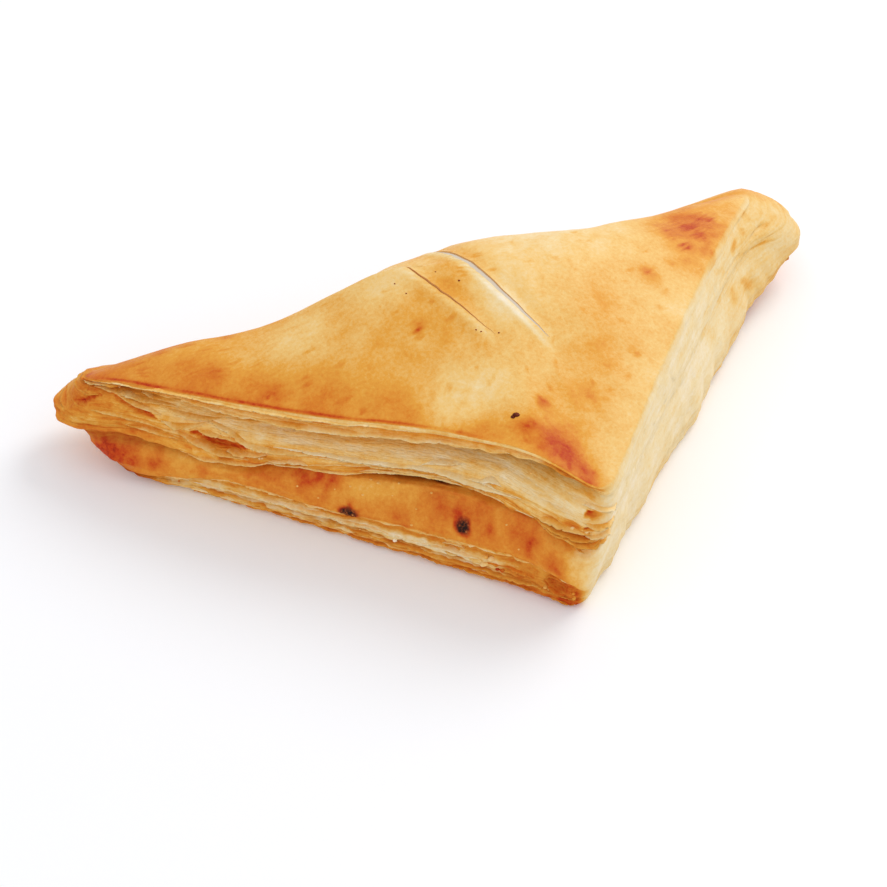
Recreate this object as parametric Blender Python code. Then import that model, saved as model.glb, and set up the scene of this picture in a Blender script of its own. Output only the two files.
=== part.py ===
"""A triangular puff pastry: a square of laminated dough folded corner to corner over its filling, and baked.

Metres, +Z up. The pastry rests on z = 0 and the origin is under the middle of its box. X runs along the
folded side, from the left tip to the right tip. The square corner points towards -Y, so the front side,
where the layers have opened, faces -X -Y and the closed cut side faces +X -Y.

The wall is a stack of levels, from the crust's edge down to the base. Each level runs round all three
sides, and each side has its own section. A station u runs from 0 at the left tip, over 1 at the square
corner and 2 at the right tip, to 3 back at the left tip.
"""

import bmesh
import bpy
import numpy as np
from mathutils import Vector, noise
from mathutils.bvhtree import BVHTree

MM = 0.001
NODE = "puff_pastry"

# Driving dimensions, in mm: left tip, square corner and right tip, before their corners are rounded
CRUST_CORNERS = ((-99.2, 42.7), (1.3, -52.8), (89.8, 45.7))
FOOT_CORNERS = ((-101.2, 37.2), (-5.2, -58.3), (108.8, 41.2))
CORNER_ROUNDING = (0.10, 0.045, 0.09)  # share of a side that each corner's rounding takes
SIDE_BLEND = 0.03  # share of a side over which one section turns into the next

# Sizes in mm at even shares along the front, the cut and the folded side, each read towards the next corner
EDGE_HEIGHTS = ((20.5, 27.5, 31.3, 34.0, 31.0), (31.0, 34.0, 35.0, 33.0, 26.0), (26.0, 26.0, 31.5, 21.5, 20.5))
FOOT_LIFTS = ((3.5, 0.2, 0.0, 0.0, 0.0), (0.0, 0.0, 0.0, 2.0, 7.5), (7.5, 1.0, 0.0, 0.2, 3.5))
EDGE_BOWS = ((0.0, 1.5, 1.0, -2.5, 0.0), (0.0, 0.0, 0.0, 0.0, 0.0), (0.0, -4.0, -3.5, -6.0, 0.0))
FOOT_BOWS = ((0.0, 0.0, -1.5, -1.8, 0.0), (0.0, -2.4, -3.2, -5.5, 0.0), (0.0, -1.0, -1.0, -2.0, 0.0))
OPENING = (0.1, 0.55, 0.9, 1.0, 0.35)  # how far the front's layers have opened, from 0 to 1

# Levels of the front: height share, share of the way from the crust's to the foot's outline, push outwards
# in mm, and a further push in mm where the layers have opened
FRONT_LEVELS = (
    (1.00, 0.00, 0.0, 0.0),  # crust's edge
    (0.915, 0.00, 0.4, 0.0),  # crust's lower edge
    (0.89, 0.00, 0.0, -6.0),  # roof of the slot under the crust
    (0.80, 0.15, 0.0, -3.5),  # pale wall inside the slot
    (0.70, 0.30, 0.3, 0.5),  # top of the middle leaf
    (0.65, 0.30, 0.8, 0.5),  # edge of the middle leaf
    (0.575, 0.30, 0.5, 0.5),  # underside of the middle leaf
    (0.555, 0.30, -0.3, -4.0),  # gap under the middle leaf
    (0.53, 0.35, 0.0, -0.5),  # top of the lower sheet
    (0.36, 0.80, 0.8, 0.0),  # lower sheet
    (0.18, 1.00, 1.0, 0.0),  # swell of the lower sheet
    (0.11, 1.00, -0.6, 0.0),  # groove over the rim
    (0.06, 1.00, 0.3, 0.0),  # rim
    (0.00, 1.00, -1.2, 0.0),  # base edge
)
# The same levels of the cut side, which stays closed: height share, foot share, push
CUT_LEVELS = (
    (1.00, 0.00, 0.0),
    (0.93, 0.02, 0.6),
    (0.90, 0.04, 0.2),
    (0.80, 0.12, 0.8),
    (0.70, 0.22, 1.0),
    (0.65, 0.28, 0.9),
    (0.60, 0.33, 0.4),
    (0.56, 0.36, -0.8),
    (0.52, 0.42, 0.2),
    (0.36, 0.66, 1.2),
    (0.20, 0.88, 1.0),
    (0.12, 0.95, 0.3),
    (0.06, 1.00, 0.2),
    (0.00, 1.00, -1.0),
)
# The folded side: how far each level has gone round the fold, from the crust's edge to the base
FOLD_TURN = (0.0, 0.09, 0.16, 0.24, 0.32, 0.39, 0.46, 0.53, 0.60, 0.69, 0.78, 0.86, 0.93, 1.0)
FOLD_REACH = 7.8  # how far the fold stands out past the crust's edge
FOLD_TUCK = 2.0  # how far the base edge is tucked in under the fold

# Pushes at the two tips, in mm, one for each level
LEFT_TIP = (0.0, 0.5, 0.5, 1.5, 3.0, 5.0, 7.5, 10.5, 9.0, 5.0, 2.0, 0.5, 0.0, 0.0)
RIGHT_TIP = (0.0, 1.0, 2.0, 4.0, 6.0, 7.0, 8.0, 8.5, 8.0, 5.0, 2.0, 0.0, 0.0, 0.0)
TIP_REACH = 0.10  # share of a side

# The crust's swell over the filling
CRUST_MIDDLE = (3.8, 12.2)
CENTRE_HEIGHT = 39.0
HUMP_MIDDLE = (1.0, 16.2)
HUMP_HALF_WIDTHS = (42.0, 26.0)
HUMP_HEIGHT = 10.8

# Relief, in mm
RAGGED_LEVELS = {1: 0.9, 4: 0.6, 5: 1.0, 6: 0.6, 9: 0.5, 10: 0.5, 12: 0.9}
RAGGED_GRAIN = 7.0
WAVE_LEVELS = {3: 0.6, 4: 1.0, 5: 1.0, 6: 1.0, 7: 1.0, 8: 1.0, 9: 0.5}
WAVE_GRAIN = 26.0
BLISTER_HEIGHT = 0.7
BLISTER_GRAIN = 16.0

# Steam slits: start and end in plan, sideways bow, width and depth, in mm
SLITS = (((-19.2, 22.5), (-6.4, -6.4), 0.0, 1.4, 2.4), ((-8.8, 31.5), (5.4, -10.4), -1.0, 2.0, 2.8))
SLIT_STEPS = 10
SLIT_CLEARANCE = 2.0  # how far a cutter stands out of the crust

# Mesh density
SIDE_STEPS = 60
CRUST_SHARES = (0.975, 0.93, 0.86, 0.77, 0.67, 0.57, 0.47, 0.37, 0.27, 0.17, 0.08)
BASE_SHARES = (0.95, 0.88, 0.8)

COLOUR = (0.78, 0.42, 0.12, 1.0)
ROUGHNESS = 0.5


def along(values, share):
    """A smooth curve through evenly spaced values, read at shares from 0 to 1."""
    v = np.asarray(values, float)
    x = np.clip(share, 0.0, 1.0) * (len(v) - 1)
    i = np.clip(np.floor(x).astype(int), 0, len(v) - 2)
    f = x - i
    before, here = v[np.maximum(i - 1, 0)], v[i]
    ahead, beyond = v[i + 1], v[np.minimum(i + 2, len(v) - 1)]
    slope = ahead - before
    curve = 2 * before - 5 * here + 4 * ahead - beyond
    twist = 3 * here - before - 3 * ahead + beyond
    return 0.5 * (2 * here + slope * f + curve * f**2 + twist * f**3)


def smooth_step(x):
    x = np.clip(x, 0.0, 1.0)
    return x * x * (3 - 2 * x)


def from_corner(u, corner):
    """Signed distance in stations from a corner, the short way round."""
    return (u - corner + 1.5) % 3.0 - 1.5


def sides_at(u):
    """For each side, the share along it and how much its section counts, at each station."""
    shares, weights = [], []
    for side in range(3):
        past_start = (u - side + 1.0) % 3.0 - 1.0
        shares.append(np.where(past_start < 1.5, np.clip(past_start, 0.0, 1.0), 0.0))
        rise = smooth_step((past_start + SIDE_BLEND) / (2 * SIDE_BLEND))
        fall = smooth_step((1 + SIDE_BLEND - past_start) / (2 * SIDE_BLEND))
        weights.append(rise * fall)
    weights = np.array(weights)
    return np.array(shares), weights / weights.sum(0)


def outline(corners, u):
    """Points round a triangle with rounded corners, at stations u."""
    c = np.array(corners)
    side = np.floor(u).astype(int) % 3
    start, end = c[side], c[(side + 1) % 3]
    points = start + (end - start) * (u - np.floor(u))[:, None]
    for i, rounding in enumerate(CORNER_ROUNDING):
        turned = (from_corner(u, i) + rounding) / (2 * rounding)
        near = (turned > 0) & (turned < 1)
        w = turned[near][:, None]
        entry = c[i] + (c[i - 1] - c[i]) * rounding
        leave = c[i] + (c[(i + 1) % 3] - c[i]) * rounding
        points[near] = (1 - w) ** 2 * entry + 2 * w * (1 - w) * c[i] + w**2 * leave
    return points


def outward(points):
    """Unit vectors out of a closed outline, at its points."""
    ahead = np.roll(points, -1, 0) - np.roll(points, 1, 0)
    normals = np.stack([ahead[:, 1], -ahead[:, 0]], 1)
    return normals / np.linalg.norm(normals, axis=1)[:, None]


def grain(points, size, seed):
    """Smooth noise from -1 to 1 at plan points, with features of the given size in mm."""
    return np.array([noise.noise((x / size, y / size, seed)) for x, y in points])


def fold_section(level):
    """Height share, foot share and push of a level of the folded side: half a round, tucked in at the base."""
    turn = FOLD_TURN[level]
    height = 0.5 + 0.5 * np.cos(np.pi * turn)
    reach = FOLD_REACH * np.sin(np.pi * turn) ** 0.8
    return height, turn, reach - FOLD_TUCK * turn**4


def wall_levels(u):
    """The wall's points in mm, as levels by stations by (x, y, z)."""
    share, weight = sides_at(u)
    crust, foot = outline(CRUST_CORNERS, u), outline(FOOT_CORNERS, u)
    normals = outward((crust + foot) / 2)

    def blend(curves):
        return sum(w * along(curve, s) for w, curve, s in zip(weight, curves, share))

    crust = crust + normals * blend(EDGE_BOWS)[:, None]
    foot = foot + normals * blend(FOOT_BOWS)[:, None]
    top, lift = blend(EDGE_HEIGHTS), np.maximum(blend(FOOT_LIFTS), 0.0)
    opened = along(OPENING, share[0])
    left_tip = np.exp(-((from_corner(u, 0) / TIP_REACH) ** 2))
    right_tip = np.exp(-((from_corner(u, 2) / TIP_REACH) ** 2))
    wave = grain(crust, WAVE_GRAIN, 3.1)
    levels = []
    for k, (front, cut) in enumerate(zip(FRONT_LEVELS, CUT_LEVELS)):
        fold = fold_section(k)
        height = weight[0] * front[0] + weight[1] * cut[0] + weight[2] * fold[0]
        spread = weight[0] * front[1] + weight[1] * cut[1] + weight[2] * fold[1]
        push = weight[0] * (front[2] + front[3] * opened) + weight[1] * cut[2] + weight[2] * fold[2]
        push = push + LEFT_TIP[k] * left_tip + RIGHT_TIP[k] * right_tip
        push = push + RAGGED_LEVELS.get(k, 0.0) * weight[0] * grain(crust, RAGGED_GRAIN, 10.0 + k)
        plan = crust + (foot - crust) * spread[:, None] + normals * push[:, None]
        z = lift + (top - lift) * height + WAVE_LEVELS.get(k, 0.0) * weight[0] * wave
        levels.append(np.column_stack([plan, z]))
    return levels


def crust_ring(edge, share):
    """One ring of the crust: share 1 lies on its edge, 0 in its middle."""
    plan = np.array(CRUST_MIDDLE) + (edge[:, :2] - CRUST_MIDDLE) * share
    away = (plan - HUMP_MIDDLE) / HUMP_HALF_WIDTHS
    hump = HUMP_HEIGHT * np.exp(-(away**2).sum(1)) * (1 - share**4)
    blisters = BLISTER_HEIGHT * grain(plan, BLISTER_GRAIN, 7.7) * (1 - share**8)
    z = edge[:, 2] * share**2.2 + CENTRE_HEIGHT * (1 - share**2.2) + hump + blisters
    return np.column_stack([plan, z])


def base_ring(edge, share):
    """One ring of the underside, which is flat except under the lifted tips."""
    z = edge[:, 2] * smooth_step((share - BASE_SHARES[-1]) / (1 - BASE_SHARES[-1]))
    return np.column_stack([np.array(CRUST_MIDDLE) + (edge[:, :2] - CRUST_MIDDLE) * share, z])


def pastry_rings():
    """Every ring of the pastry, from the middle of the crust over the wall to the underside."""
    u = np.arange(3 * SIDE_STEPS) / SIDE_STEPS
    wall = wall_levels(u)
    crust = [crust_ring(wall[0], share) for share in reversed(CRUST_SHARES)]
    base = [base_ring(wall[-1], share) for share in BASE_SHARES]
    return crust + wall + base


def closed_mesh(name, rings):
    """A closed mesh through rings of equal length, from its top ring to its bottom ring."""
    bm = bmesh.new()
    loops = [[bm.verts.new(Vector(point) * MM) for point in ring] for ring in rings]
    for upper, lower in zip(loops, loops[1:]):
        for i in range(len(upper)):
            bm.faces.new((upper[i - 1], lower[i - 1], lower[i], upper[i]))
    top = bm.verts.new(Vector(rings[0].mean(0)) * MM)
    for i in range(len(loops[0])):
        bm.faces.new((top, loops[0][i - 1], loops[0][i]))
    bm.faces.new(reversed(loops[-1]))
    bmesh.ops.recalc_face_normals(bm, faces=bm.faces)
    mesh = bpy.data.meshes.new(name)
    bm.to_mesh(mesh)
    bm.free()
    return mesh


def add_object(name, mesh):
    obj = bpy.data.objects.new(name, mesh)
    bpy.context.scene.collection.objects.link(obj)
    return obj


def slit_rings(surface, start, end, bow, width, depth):
    """Sections of a slit's cutter in mm: a narrow wedge that follows the crust and thins out at both ends."""
    start, end = np.array(start), np.array(end)
    way = end - start
    aside = np.array([-way[1], way[0]]) / np.linalg.norm(way)
    sections = []
    for step in range(SLIT_STEPS + 1):
        share = step / SLIT_STEPS
        swell = np.sin(np.pi * (0.04 + 0.92 * share)) ** 0.6
        middle = start + way * share + aside * bow * np.sin(np.pi * share)
        above = Vector((*middle, 100.0)) * MM
        top = surface.ray_cast(above, Vector((0, 0, -1)))[0].z / MM
        reach = aside * width / 2 * swell * (1 + SLIT_CLEARANCE / depth)
        left, right = middle - reach, middle + reach
        sections.append([(*left, top + SLIT_CLEARANCE), (*right, top + SLIT_CLEARANCE), (*middle, top - depth * swell)])
    return sections


def slit_cutter(name, surface, slit):
    """A hidden wedge that the Boolean takes out of the crust."""
    bm = bmesh.new()
    loops = [[bm.verts.new(Vector(p) * MM) for p in section] for section in slit_rings(surface, *slit)]
    for near, far in zip(loops, loops[1:]):
        for i in range(3):
            bm.faces.new((near[i - 1], near[i], far[i], far[i - 1]))
    bm.faces.new(loops[0])
    bm.faces.new(loops[-1])
    bmesh.ops.recalc_face_normals(bm, faces=bm.faces)
    mesh = bpy.data.meshes.new(name)
    bm.to_mesh(mesh)
    bm.free()
    cutter = add_object(name, mesh)
    cutter.hide_render = True
    cutter.display_type = "WIRE"
    return cutter


def baked_dough():
    material = bpy.data.materials.new("baked_dough")
    material.use_nodes = True
    shader = material.node_tree.nodes["Principled BSDF"]
    shader.inputs["Base Color"].default_value = COLOUR
    shader.inputs["Roughness"].default_value = ROUGHNESS
    shader.inputs["Metallic"].default_value = 0.0
    return material


def add_pastry():
    mesh = closed_mesh(NODE, pastry_rings())
    mesh.materials.append(baked_dough())
    pastry = add_object(NODE, mesh)
    bm = bmesh.new()
    bm.from_mesh(mesh)
    surface = BVHTree.FromBMesh(bm)
    bm.free()
    for i, slit in enumerate(SLITS):
        cut = pastry.modifiers.new(f"slit_{i + 1}", "BOOLEAN")
        cut.operation = "DIFFERENCE"
        cut.solver = "EXACT"
        cut.object = slit_cutter(f"slit_cutter_{i + 1}", surface, slit)
    mesh.shade_smooth()
    mesh.set_sharp_from_angle(angle=np.radians(40))


def main():
    for obj in list(bpy.data.objects):
        bpy.data.objects.remove(obj)
    add_pastry()


main()
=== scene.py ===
"""A triangular puff pastry: domed golden crust with steam slits, and flaky layers opened along one side."""

import math
import random

import bpy
import numpy as np
from bpy.props import FloatProperty, FloatVectorProperty, PointerProperty
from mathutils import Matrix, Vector, noise
from mathutils.bvhtree import BVHTree


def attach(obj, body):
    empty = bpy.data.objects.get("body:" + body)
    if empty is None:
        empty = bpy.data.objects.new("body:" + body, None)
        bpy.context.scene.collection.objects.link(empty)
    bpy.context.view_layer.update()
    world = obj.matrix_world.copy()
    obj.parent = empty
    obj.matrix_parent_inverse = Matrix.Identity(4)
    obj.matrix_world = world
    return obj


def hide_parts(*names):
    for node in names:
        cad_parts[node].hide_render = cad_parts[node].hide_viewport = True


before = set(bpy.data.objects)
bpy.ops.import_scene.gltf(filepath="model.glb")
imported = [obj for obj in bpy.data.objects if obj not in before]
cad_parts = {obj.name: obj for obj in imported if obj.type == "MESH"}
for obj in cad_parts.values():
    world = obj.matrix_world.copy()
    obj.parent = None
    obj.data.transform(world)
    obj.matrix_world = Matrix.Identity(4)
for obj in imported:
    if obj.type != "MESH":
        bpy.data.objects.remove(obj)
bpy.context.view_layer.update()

bl_info = {
    "name": "Puff pastry",
    "version": (1, 0, 0),
    "blender": (4, 5, 0),
    "location": "3D View > Sidebar > Pastry",
    "description": "Builds a triangular puff pastry with flaky layers on a pale floor",
    "category": "Object",
}

MM = 0.001
NODE = "puff_pastry"

# Form shared with the solid, in mm: left tip, square corner and right tip, before rounding
CRUST_CORNERS = ((-99.2, 42.7), (1.3, -52.8), (89.8, 45.7))
FOOT_CORNERS = ((-101.2, 37.2), (-5.2, -58.3), (108.8, 41.2))
CRUST_ROUNDING = (0.07, 0.045, 0.05)
FOOT_ROUNDING = (0.1, 0.045, 0.09)
SIDE_BLEND = 0.03
EDGE_HEIGHTS = (
    (21.2, 24.8, 27.5, 29.4, 31.3, 33.1, 34.2, 35.2, 31.0),
    (31.0, 34.0, 35.0, 33.0, 26.0),
    (26.0, 26.0, 31.5, 19.4, 21.2),
)
FOOT_LIFTS = ((3.5, 0.2, 0.0, 0.0, 0.0), (0.0, 0.0, 0.0, 2.0, 7.5), (7.5, 1.0, 0.0, 0.2, 3.5))
EDGE_BOWS = ((0.0, 1.5, 1.0, -2.5, 0.0), (0.0, 0.0, 0.0, 0.0, 0.0), (0.0, -4.0, -3.5, -6.0, 0.0))
FOOT_BOWS = (
    (-6.0, 0.6, -0.6, -1.3, -1.7, -1.9, -2.1, -1.9, -0.9),
    (-0.6, -2.6, -3.2, -5.5, -2.4),
    (-2.4, -1.0, -1.0, -2.0, -6.0),
)
OPENING = (0.1, 0.55, 0.9, 1.0, 0.35)
# Levels of the opened front, from the crust's edge to the base edge: height share, foot share
FRONT_LEVELS = (
    (1.0, 0.0), (0.915, 0.0), (0.89, 0.0), (0.8, 0.15), (0.7, 0.3), (0.65, 0.3), (0.575, 0.3),
    (0.555, 0.3), (0.53, 0.35), (0.36, 0.8), (0.18, 1.0), (0.11, 1.0), (0.06, 1.0), (0.0, 1.0),
)
# Levels of the closed cut side: height share, foot share, push in mm
CUT_LEVELS = (
    (1.0, 0.0, 0.0), (0.93, 0.02, 0.6), (0.9, 0.04, 0.2), (0.8, 0.12, 0.8), (0.7, 0.22, 1.0),
    (0.65, 0.28, 0.9), (0.6, 0.33, 0.7), (0.56, 0.36, 0.3), (0.52, 0.42, 0.4), (0.36, 0.66, 1.2),
    (0.2, 0.88, 1.0), (0.12, 0.95, 0.3), (0.06, 1.0, 0.2), (0.0, 1.0, -1.0),
)
FOLD_TURN = (0.0, 0.09, 0.16, 0.24, 0.32, 0.39, 0.46, 0.53, 0.6, 0.69, 0.78, 0.86, 0.93, 1.0)
FOLD_REACH = 7.8
FOLD_TUCK = 2.0
LEFT_TIP = (0.0, 0.3, 0.6, 1.4, 2.8, 4.8, 7.2, 9.0, 9.8, 9.0, 5.6, 0.6, -1.2, -1.6)
RIGHT_TIP = (0.0, 0.3, 0.8, 2.0, 3.6, 5.2, 7.2, 8.8, 9.2, 6.8, 3.4, 1.0, 0.0, 0.0)
TIP_REACH = 0.1
CRUST_MIDDLE = (3.8, 12.2)
CENTRE_HEIGHT = 39.0
HUMP_MIDDLE = (1.0, 16.2)
HUMP_HALF_WIDTHS = (42.0, 26.0)
HUMP_HEIGHT = 10.8
WAVE_LEVELS = {3: 0.6, 4: 1.0, 5: 1.0, 6: 1.0, 7: 1.0, 8: 1.0, 9: 0.5}
WAVE_GRAIN = 26.0
# Swells of the crust beside the hump in plan: x, y, half widths in x and y, height
CRUST_SWELLS = ((-24.0, 30.0, 11.0, 12.0, 3.4), (-53.0, 32.0, 16.0, 14.0, -2.6))
BLISTER_HEIGHT = 0.7
BLISTER_GRAIN = 16.0

# Profile of the opened front: level, push in mm, push that grows with the opening
FRONT_PROFILE = (
    (0.0, 0.0, 0.0), (0.22, 0.45, 0.0), (0.38, -0.6, 0.0), (0.68, -0.4, 0.0), (0.88, 0.7, 0.2),
    (1.0, 0.6, 0.0), (1.15, -0.6, -1.5), (1.6, -0.4, -5.0), (2.2, -0.2, -6.0), (3.0, 0.0, -3.5),
    (3.8, 0.4, 0.0), (4.2, 0.7, 0.5), (5.0, 0.5, 0.3), (6.0, 0.8, 0.5), (6.9, 0.8, 0.8),
    (7.0, 0.4, 0.5), (7.15, -1.0, -3.0), (7.5, -0.8, -3.5), (8.0, 0.0, -0.8), (8.6, 0.6, 0.0),
    (9.6, 1.0, 0.0), (10.4, 1.1, 0.0), (10.55, 0.3, 0.0), (10.75, -0.8, 0.0), (11.0, -0.2, 0.0),
    (11.4, 0.6, 0.0), (11.6, -0.4, 0.0), (12.0, 0.7, 0.0), (12.2, -0.3, 0.0), (12.6, 0.4, 0.0),
    (13.0, -1.2, 0.0),
)
# The browning of the underside, and the height in mm that the wall's levels have for its fine lines
BASE_TONE = 0.62
LAYER_HEIGHT = 34.0
# Where the front's zones lie on the solid's own levels, from the left tip to the square corner
ZONE_LEVELS = (0.0, 1.0, 4.0, 7.0, 10.5, 13.0)
ZONE_PLACES = (
    (0.0,) * 11,
    (0.4, 0.4, 0.5, 1.0, 1.1, 1.35, 1.15, 1.15, 0.8, 0.4, 0.3),
    (4.0, 4.0, 4.0, 4.0, 3.9, 3.9, 3.8, 3.7, 3.9, 4.9, 4.6),
    (8.4, 8.2, 8.5, 8.6, 8.1, 7.1, 5.2, 4.4, 5.2, 7.2, 8.1),
    (12.6, 12.6, 10.6, 9.6, 9.55, 9.75, 9.63, 9.6, 9.55, 9.52, 9.77),
    (13.0,) * 11,
)

# How many mm of the lower sheet one level of the solid takes up
SHEET_SLOPE = 6.7
# Crescent gap under the middle leaf: first share, span of shares, level of its roof, then height, swell of
# its height and depth in mm
GAP = (0.545, 0.205, 7.1, 7.2, 2.3, 5.0)

# Mesh density, a leaf's ring spacing and how deep its root lies in the wall, in mm, and the step from one
# leaf's seed to the next
SIDE_STEPS = (390, 125, 75)
BAND_STEPS = (12, 9, 6, 7, 7, 7, 8, 9, 7, 7, 10, 10, 8)
INNER_SHARES = (0.012, 0.46, 0.018)
OUTER_SHARES = (0.47, 0.925, 0.032)
RIM_SHARES = (0.935, 0.947, 0.957, 0.966, 0.974, 0.982, 0.989, 0.995)
BASE_SHARES = (0.985, 0.95, 0.88, 0.8)
LEAF_SEGMENTS = 10
LEAF_RING = 0.4
LEAF_DEPTH = 2.5
SEED_STEP = 3.7
FRONT_LENGTH = 135.0

# Steam slits in plan, mm: start, end, sideways bow, width, depth
SLITS = (((-19.6, 21.5), (-6.4, -6.0), -0.3, 0.62, 0.6), ((-9.8, 32.0), (5.6, -9.8), -1.3, 1.8, 0.55))
SLIT_STEPS = 40

# Leaves of dough on the opened side: span of shares, levels, reaches in mm, then thickness, raggedness
# and droop in mm, and browning
LIP_LEAVES = (
    ((0.05, 0.8), (0.16, 0.18, 0.18, 0.18, 0.16), (0.3, 0.6, 0.8, 0.6, 0.2), 0.4, 0.35, 0.0, 0.28),
    ((0.28, 0.6), (0.56, 0.56, 0.56, 0.56, 0.52), (0.2, 0.3, 0.4, 0.3, 0.2), 0.3, 0.5, 0.1, 0.3),
    ((0.24, 0.87), (0.9, 0.9, 0.86, 0.8, 0.74), (0.4, 1.1, 1.4, 1.0, 0.4), 0.45, 0.9, 0.15, 0.26),
    ((0.15, 0.335), (2.5, 3.0, 3.3, 3.2, 2.8), (0.4, 1.4, 1.8, 1.4, 0.4), 0.5, 0.7, 0.2, 0.32),
    ((0.26, 0.53), (3.2, 3.6, 4.25, 4.15, 4.0), (0.4, 1.5, 2.0, 1.4, 0.3), 0.5, 0.6, 0.3, 0.28),
    ((0.428, 0.564), (3.3, 2.9, 1.9, 1.4, 1.0), (0.3, 1.2, 1.6, 1.2, 0.3), 0.4, 0.5, 0.2, 0.22),
)
LEFT_LEAVES = (
    ((0.198, 0.292), (4.05, 4.02, 3.91, 3.72, 3.45), (0.3, 1.6, 1.9, 1.6, 0.4), 0.5, 0.9, 0.0, 0.32),
    ((0.2, 0.37), (4.1, 4.9, 5.8, 6.6, 6.8), (0.4, 1.5, 2.0, 1.8, 0.5), 0.5, 0.6, 0.0, 0.34),
    ((0.264, 0.356), (4.0, 3.95, 3.95, 4.05, 4.3), (0.3, 1.2, 1.4, 1.1, 0.3), 0.45, 0.8, 0.3, 0.32),
    ((0.325, 0.41), (6.2, 5.8, 5.34, 5.22, 5.1), (0.4, 1.5, 1.9, 1.5, 0.4), 0.45, 1.1, 0.1, 0.28),
    ((0.405, 0.485), (6.4, 5.94, 5.55, 5.6, 6.0), (0.3, 1.3, 1.5, 1.3, 0.3), 0.4, 0.6, 0.0, 0.2),
    ((0.232, 0.42), (7.0, 6.95, 6.9, 6.95, 6.95), (0.3, 0.9, 1.1, 1.1, 0.4), 0.5, 0.9, 0.2, 0.32),
    ((0.096, 0.2), (2.75, 3.03, 3.28, 3.45, 3.7), (0.3, 1.3, 1.5, 1.3, 0.3), 0.45, 0.4, 0.0, 0.3),
    ((0.05, 0.23), (2.4, 2.6, 2.8, 3.0, 3.1), (0.3, 1.3, 1.6, 1.3, 0.3), 0.45, 0.6, 0.0, 0.34),
    ((0.05, 0.23), (4.6, 4.4, 4.5, 4.8, 5.1), (0.2, 0.8, 1.0, 0.8, 0.2), 0.4, 0.4, 0.0, 0.4),
    ((0.12, 0.26), (5.4, 5.5, 5.7, 6.1, 6.4), (0.2, 0.9, 1.1, 0.9, 0.2), 0.4, 0.5, 0.0, 0.4),
    ((-0.01, 0.12), (1.1, 1.15, 1.15, 1.1, 1.0), (0.2, 1.1, 1.6, 1.2, 0.2), 0.4, 0.7, 0.0, 0.26),
    ((-0.05, 0.07), (3.2, 3.4, 3.4, 3.3, 3.2), (0.2, 0.6, 0.9, 0.7, 0.2), 0.4, 0.6, 0.0, 0.5),
    ((-0.04, 0.06), (5.6, 5.4, 5.3, 5.4, 5.6), (0.2, 0.5, 0.8, 0.6, 0.2), 0.4, 0.7, 0.0, 0.56),
)
MIDDLE_LEAVES = (
    ((0.66, 0.852), (4.15, 3.95, 4.07, 4.25, 4.2), (0.3, 1.5, 1.8, 1.3, 0.4), 0.45, 0.5, 0.3, 0.12),
    ((0.666, 0.756), (3.95, 3.65, 3.5, 3.45, 3.45), (0.3, 1.2, 1.6, 1.4, 0.8), 0.4, 0.5, 0.2, 0.14),
    ((0.776, 0.822), (4.05, 3.87, 3.7, 3.75, 3.85), (0.3, 1.4, 1.9, 1.5, 0.4), 0.4, 0.4, 0.1, 0.12),
    ((0.468, 0.69), (5.0, 4.5, 4.4, 4.4, 4.5), (0.2, 0.5, 0.6, 0.5, 0.2), 0.4, 0.5, 0.1, 0.22),
    ((0.44, 0.8), (5.9, 5.5, 5.3, 5.4, 5.6), (0.2, 0.6, 0.7, 0.7, 0.3), 0.4, 0.7, 0.1, 0.26),
    ((0.4, 0.9), (6.9, 6.9, 6.88, 6.9, 6.9), (0.4, 0.7, 0.4, 0.4, 0.4), 0.45, 0.4, 0.0, 0.26),
    ((0.38, 0.86), (4.1, 4.0, 4.0, 4.0, 4.1), (0.3, 1.2, 1.3, 1.1, 0.3), 0.5, 0.5, 0.1, 0.12),
    ((0.56, 0.78), (6.5, 6.4, 6.35, 6.4, 6.5), (0.2, 0.5, 0.5, 0.5, 0.2), 0.35, 0.5, 0.0, 0.24),
)
# The leaves that wrap round the square corner have paler browning, painted light where the corner faces the
# light
STACK_LEAVES = (
    ((0.868, 0.985), (5.8, 5.21, 4.7, 4.5, 4.7), (0.3, 1.6, 2.0, 1.7, 0.4), 0.55, 0.9, 0.1, 0.34),
    ((0.88, 0.995), (6.45, 5.9, 5.5, 5.65, 6.0), (0.3, 1.6, 2.1, 1.7, 0.4), 0.5, 1.1, 0.0, 0.44),
    ((0.878, 1.01), (7.2, 6.8, 6.6, 6.6, 6.7), (0.3, 1.5, 1.9, 1.8, 0.4), 0.55, 1.1, 0.1, 0.48),
    ((0.96, 1.05), (2.95, 2.8, 2.8, 3.1, 3.4), (0.3, 1.4, 1.6, 1.0, 0.2), 0.55, 0.9, 0.0, 0.18),
    ((0.966, 1.044), (3.6, 3.65, 3.8, 4.2, 4.5), (0.3, 1.4, 1.6, 1.0, 0.2), 0.5, 1.0, 0.0, 0.3),
    ((0.973, 1.052), (4.9, 5.1, 5.4, 5.8, 6.2), (0.3, 1.3, 1.5, 1.0, 0.2), 0.55, 1.0, 0.0, 0.2),
    ((0.955, 1.042), (7.3, 7.4, 7.6, 7.8, 8.0), (0.3, 1.2, 1.4, 0.9, 0.2), 0.5, 1.0, 0.0, 0.34),
    ((0.895, 0.985), (8.05, 7.95, 7.85, 7.9, 8.0), (0.2, 1.2, 1.6, 1.2, 0.2), 0.45, 0.8, 0.0, 0.48),
    ((0.935, 1.02), (6.1, 6.3, 6.6, 6.9, 7.1), (0.2, 1.4, 1.9, 1.4, 0.2), 0.5, 1.0, 0.2, 0.52),
)
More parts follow.
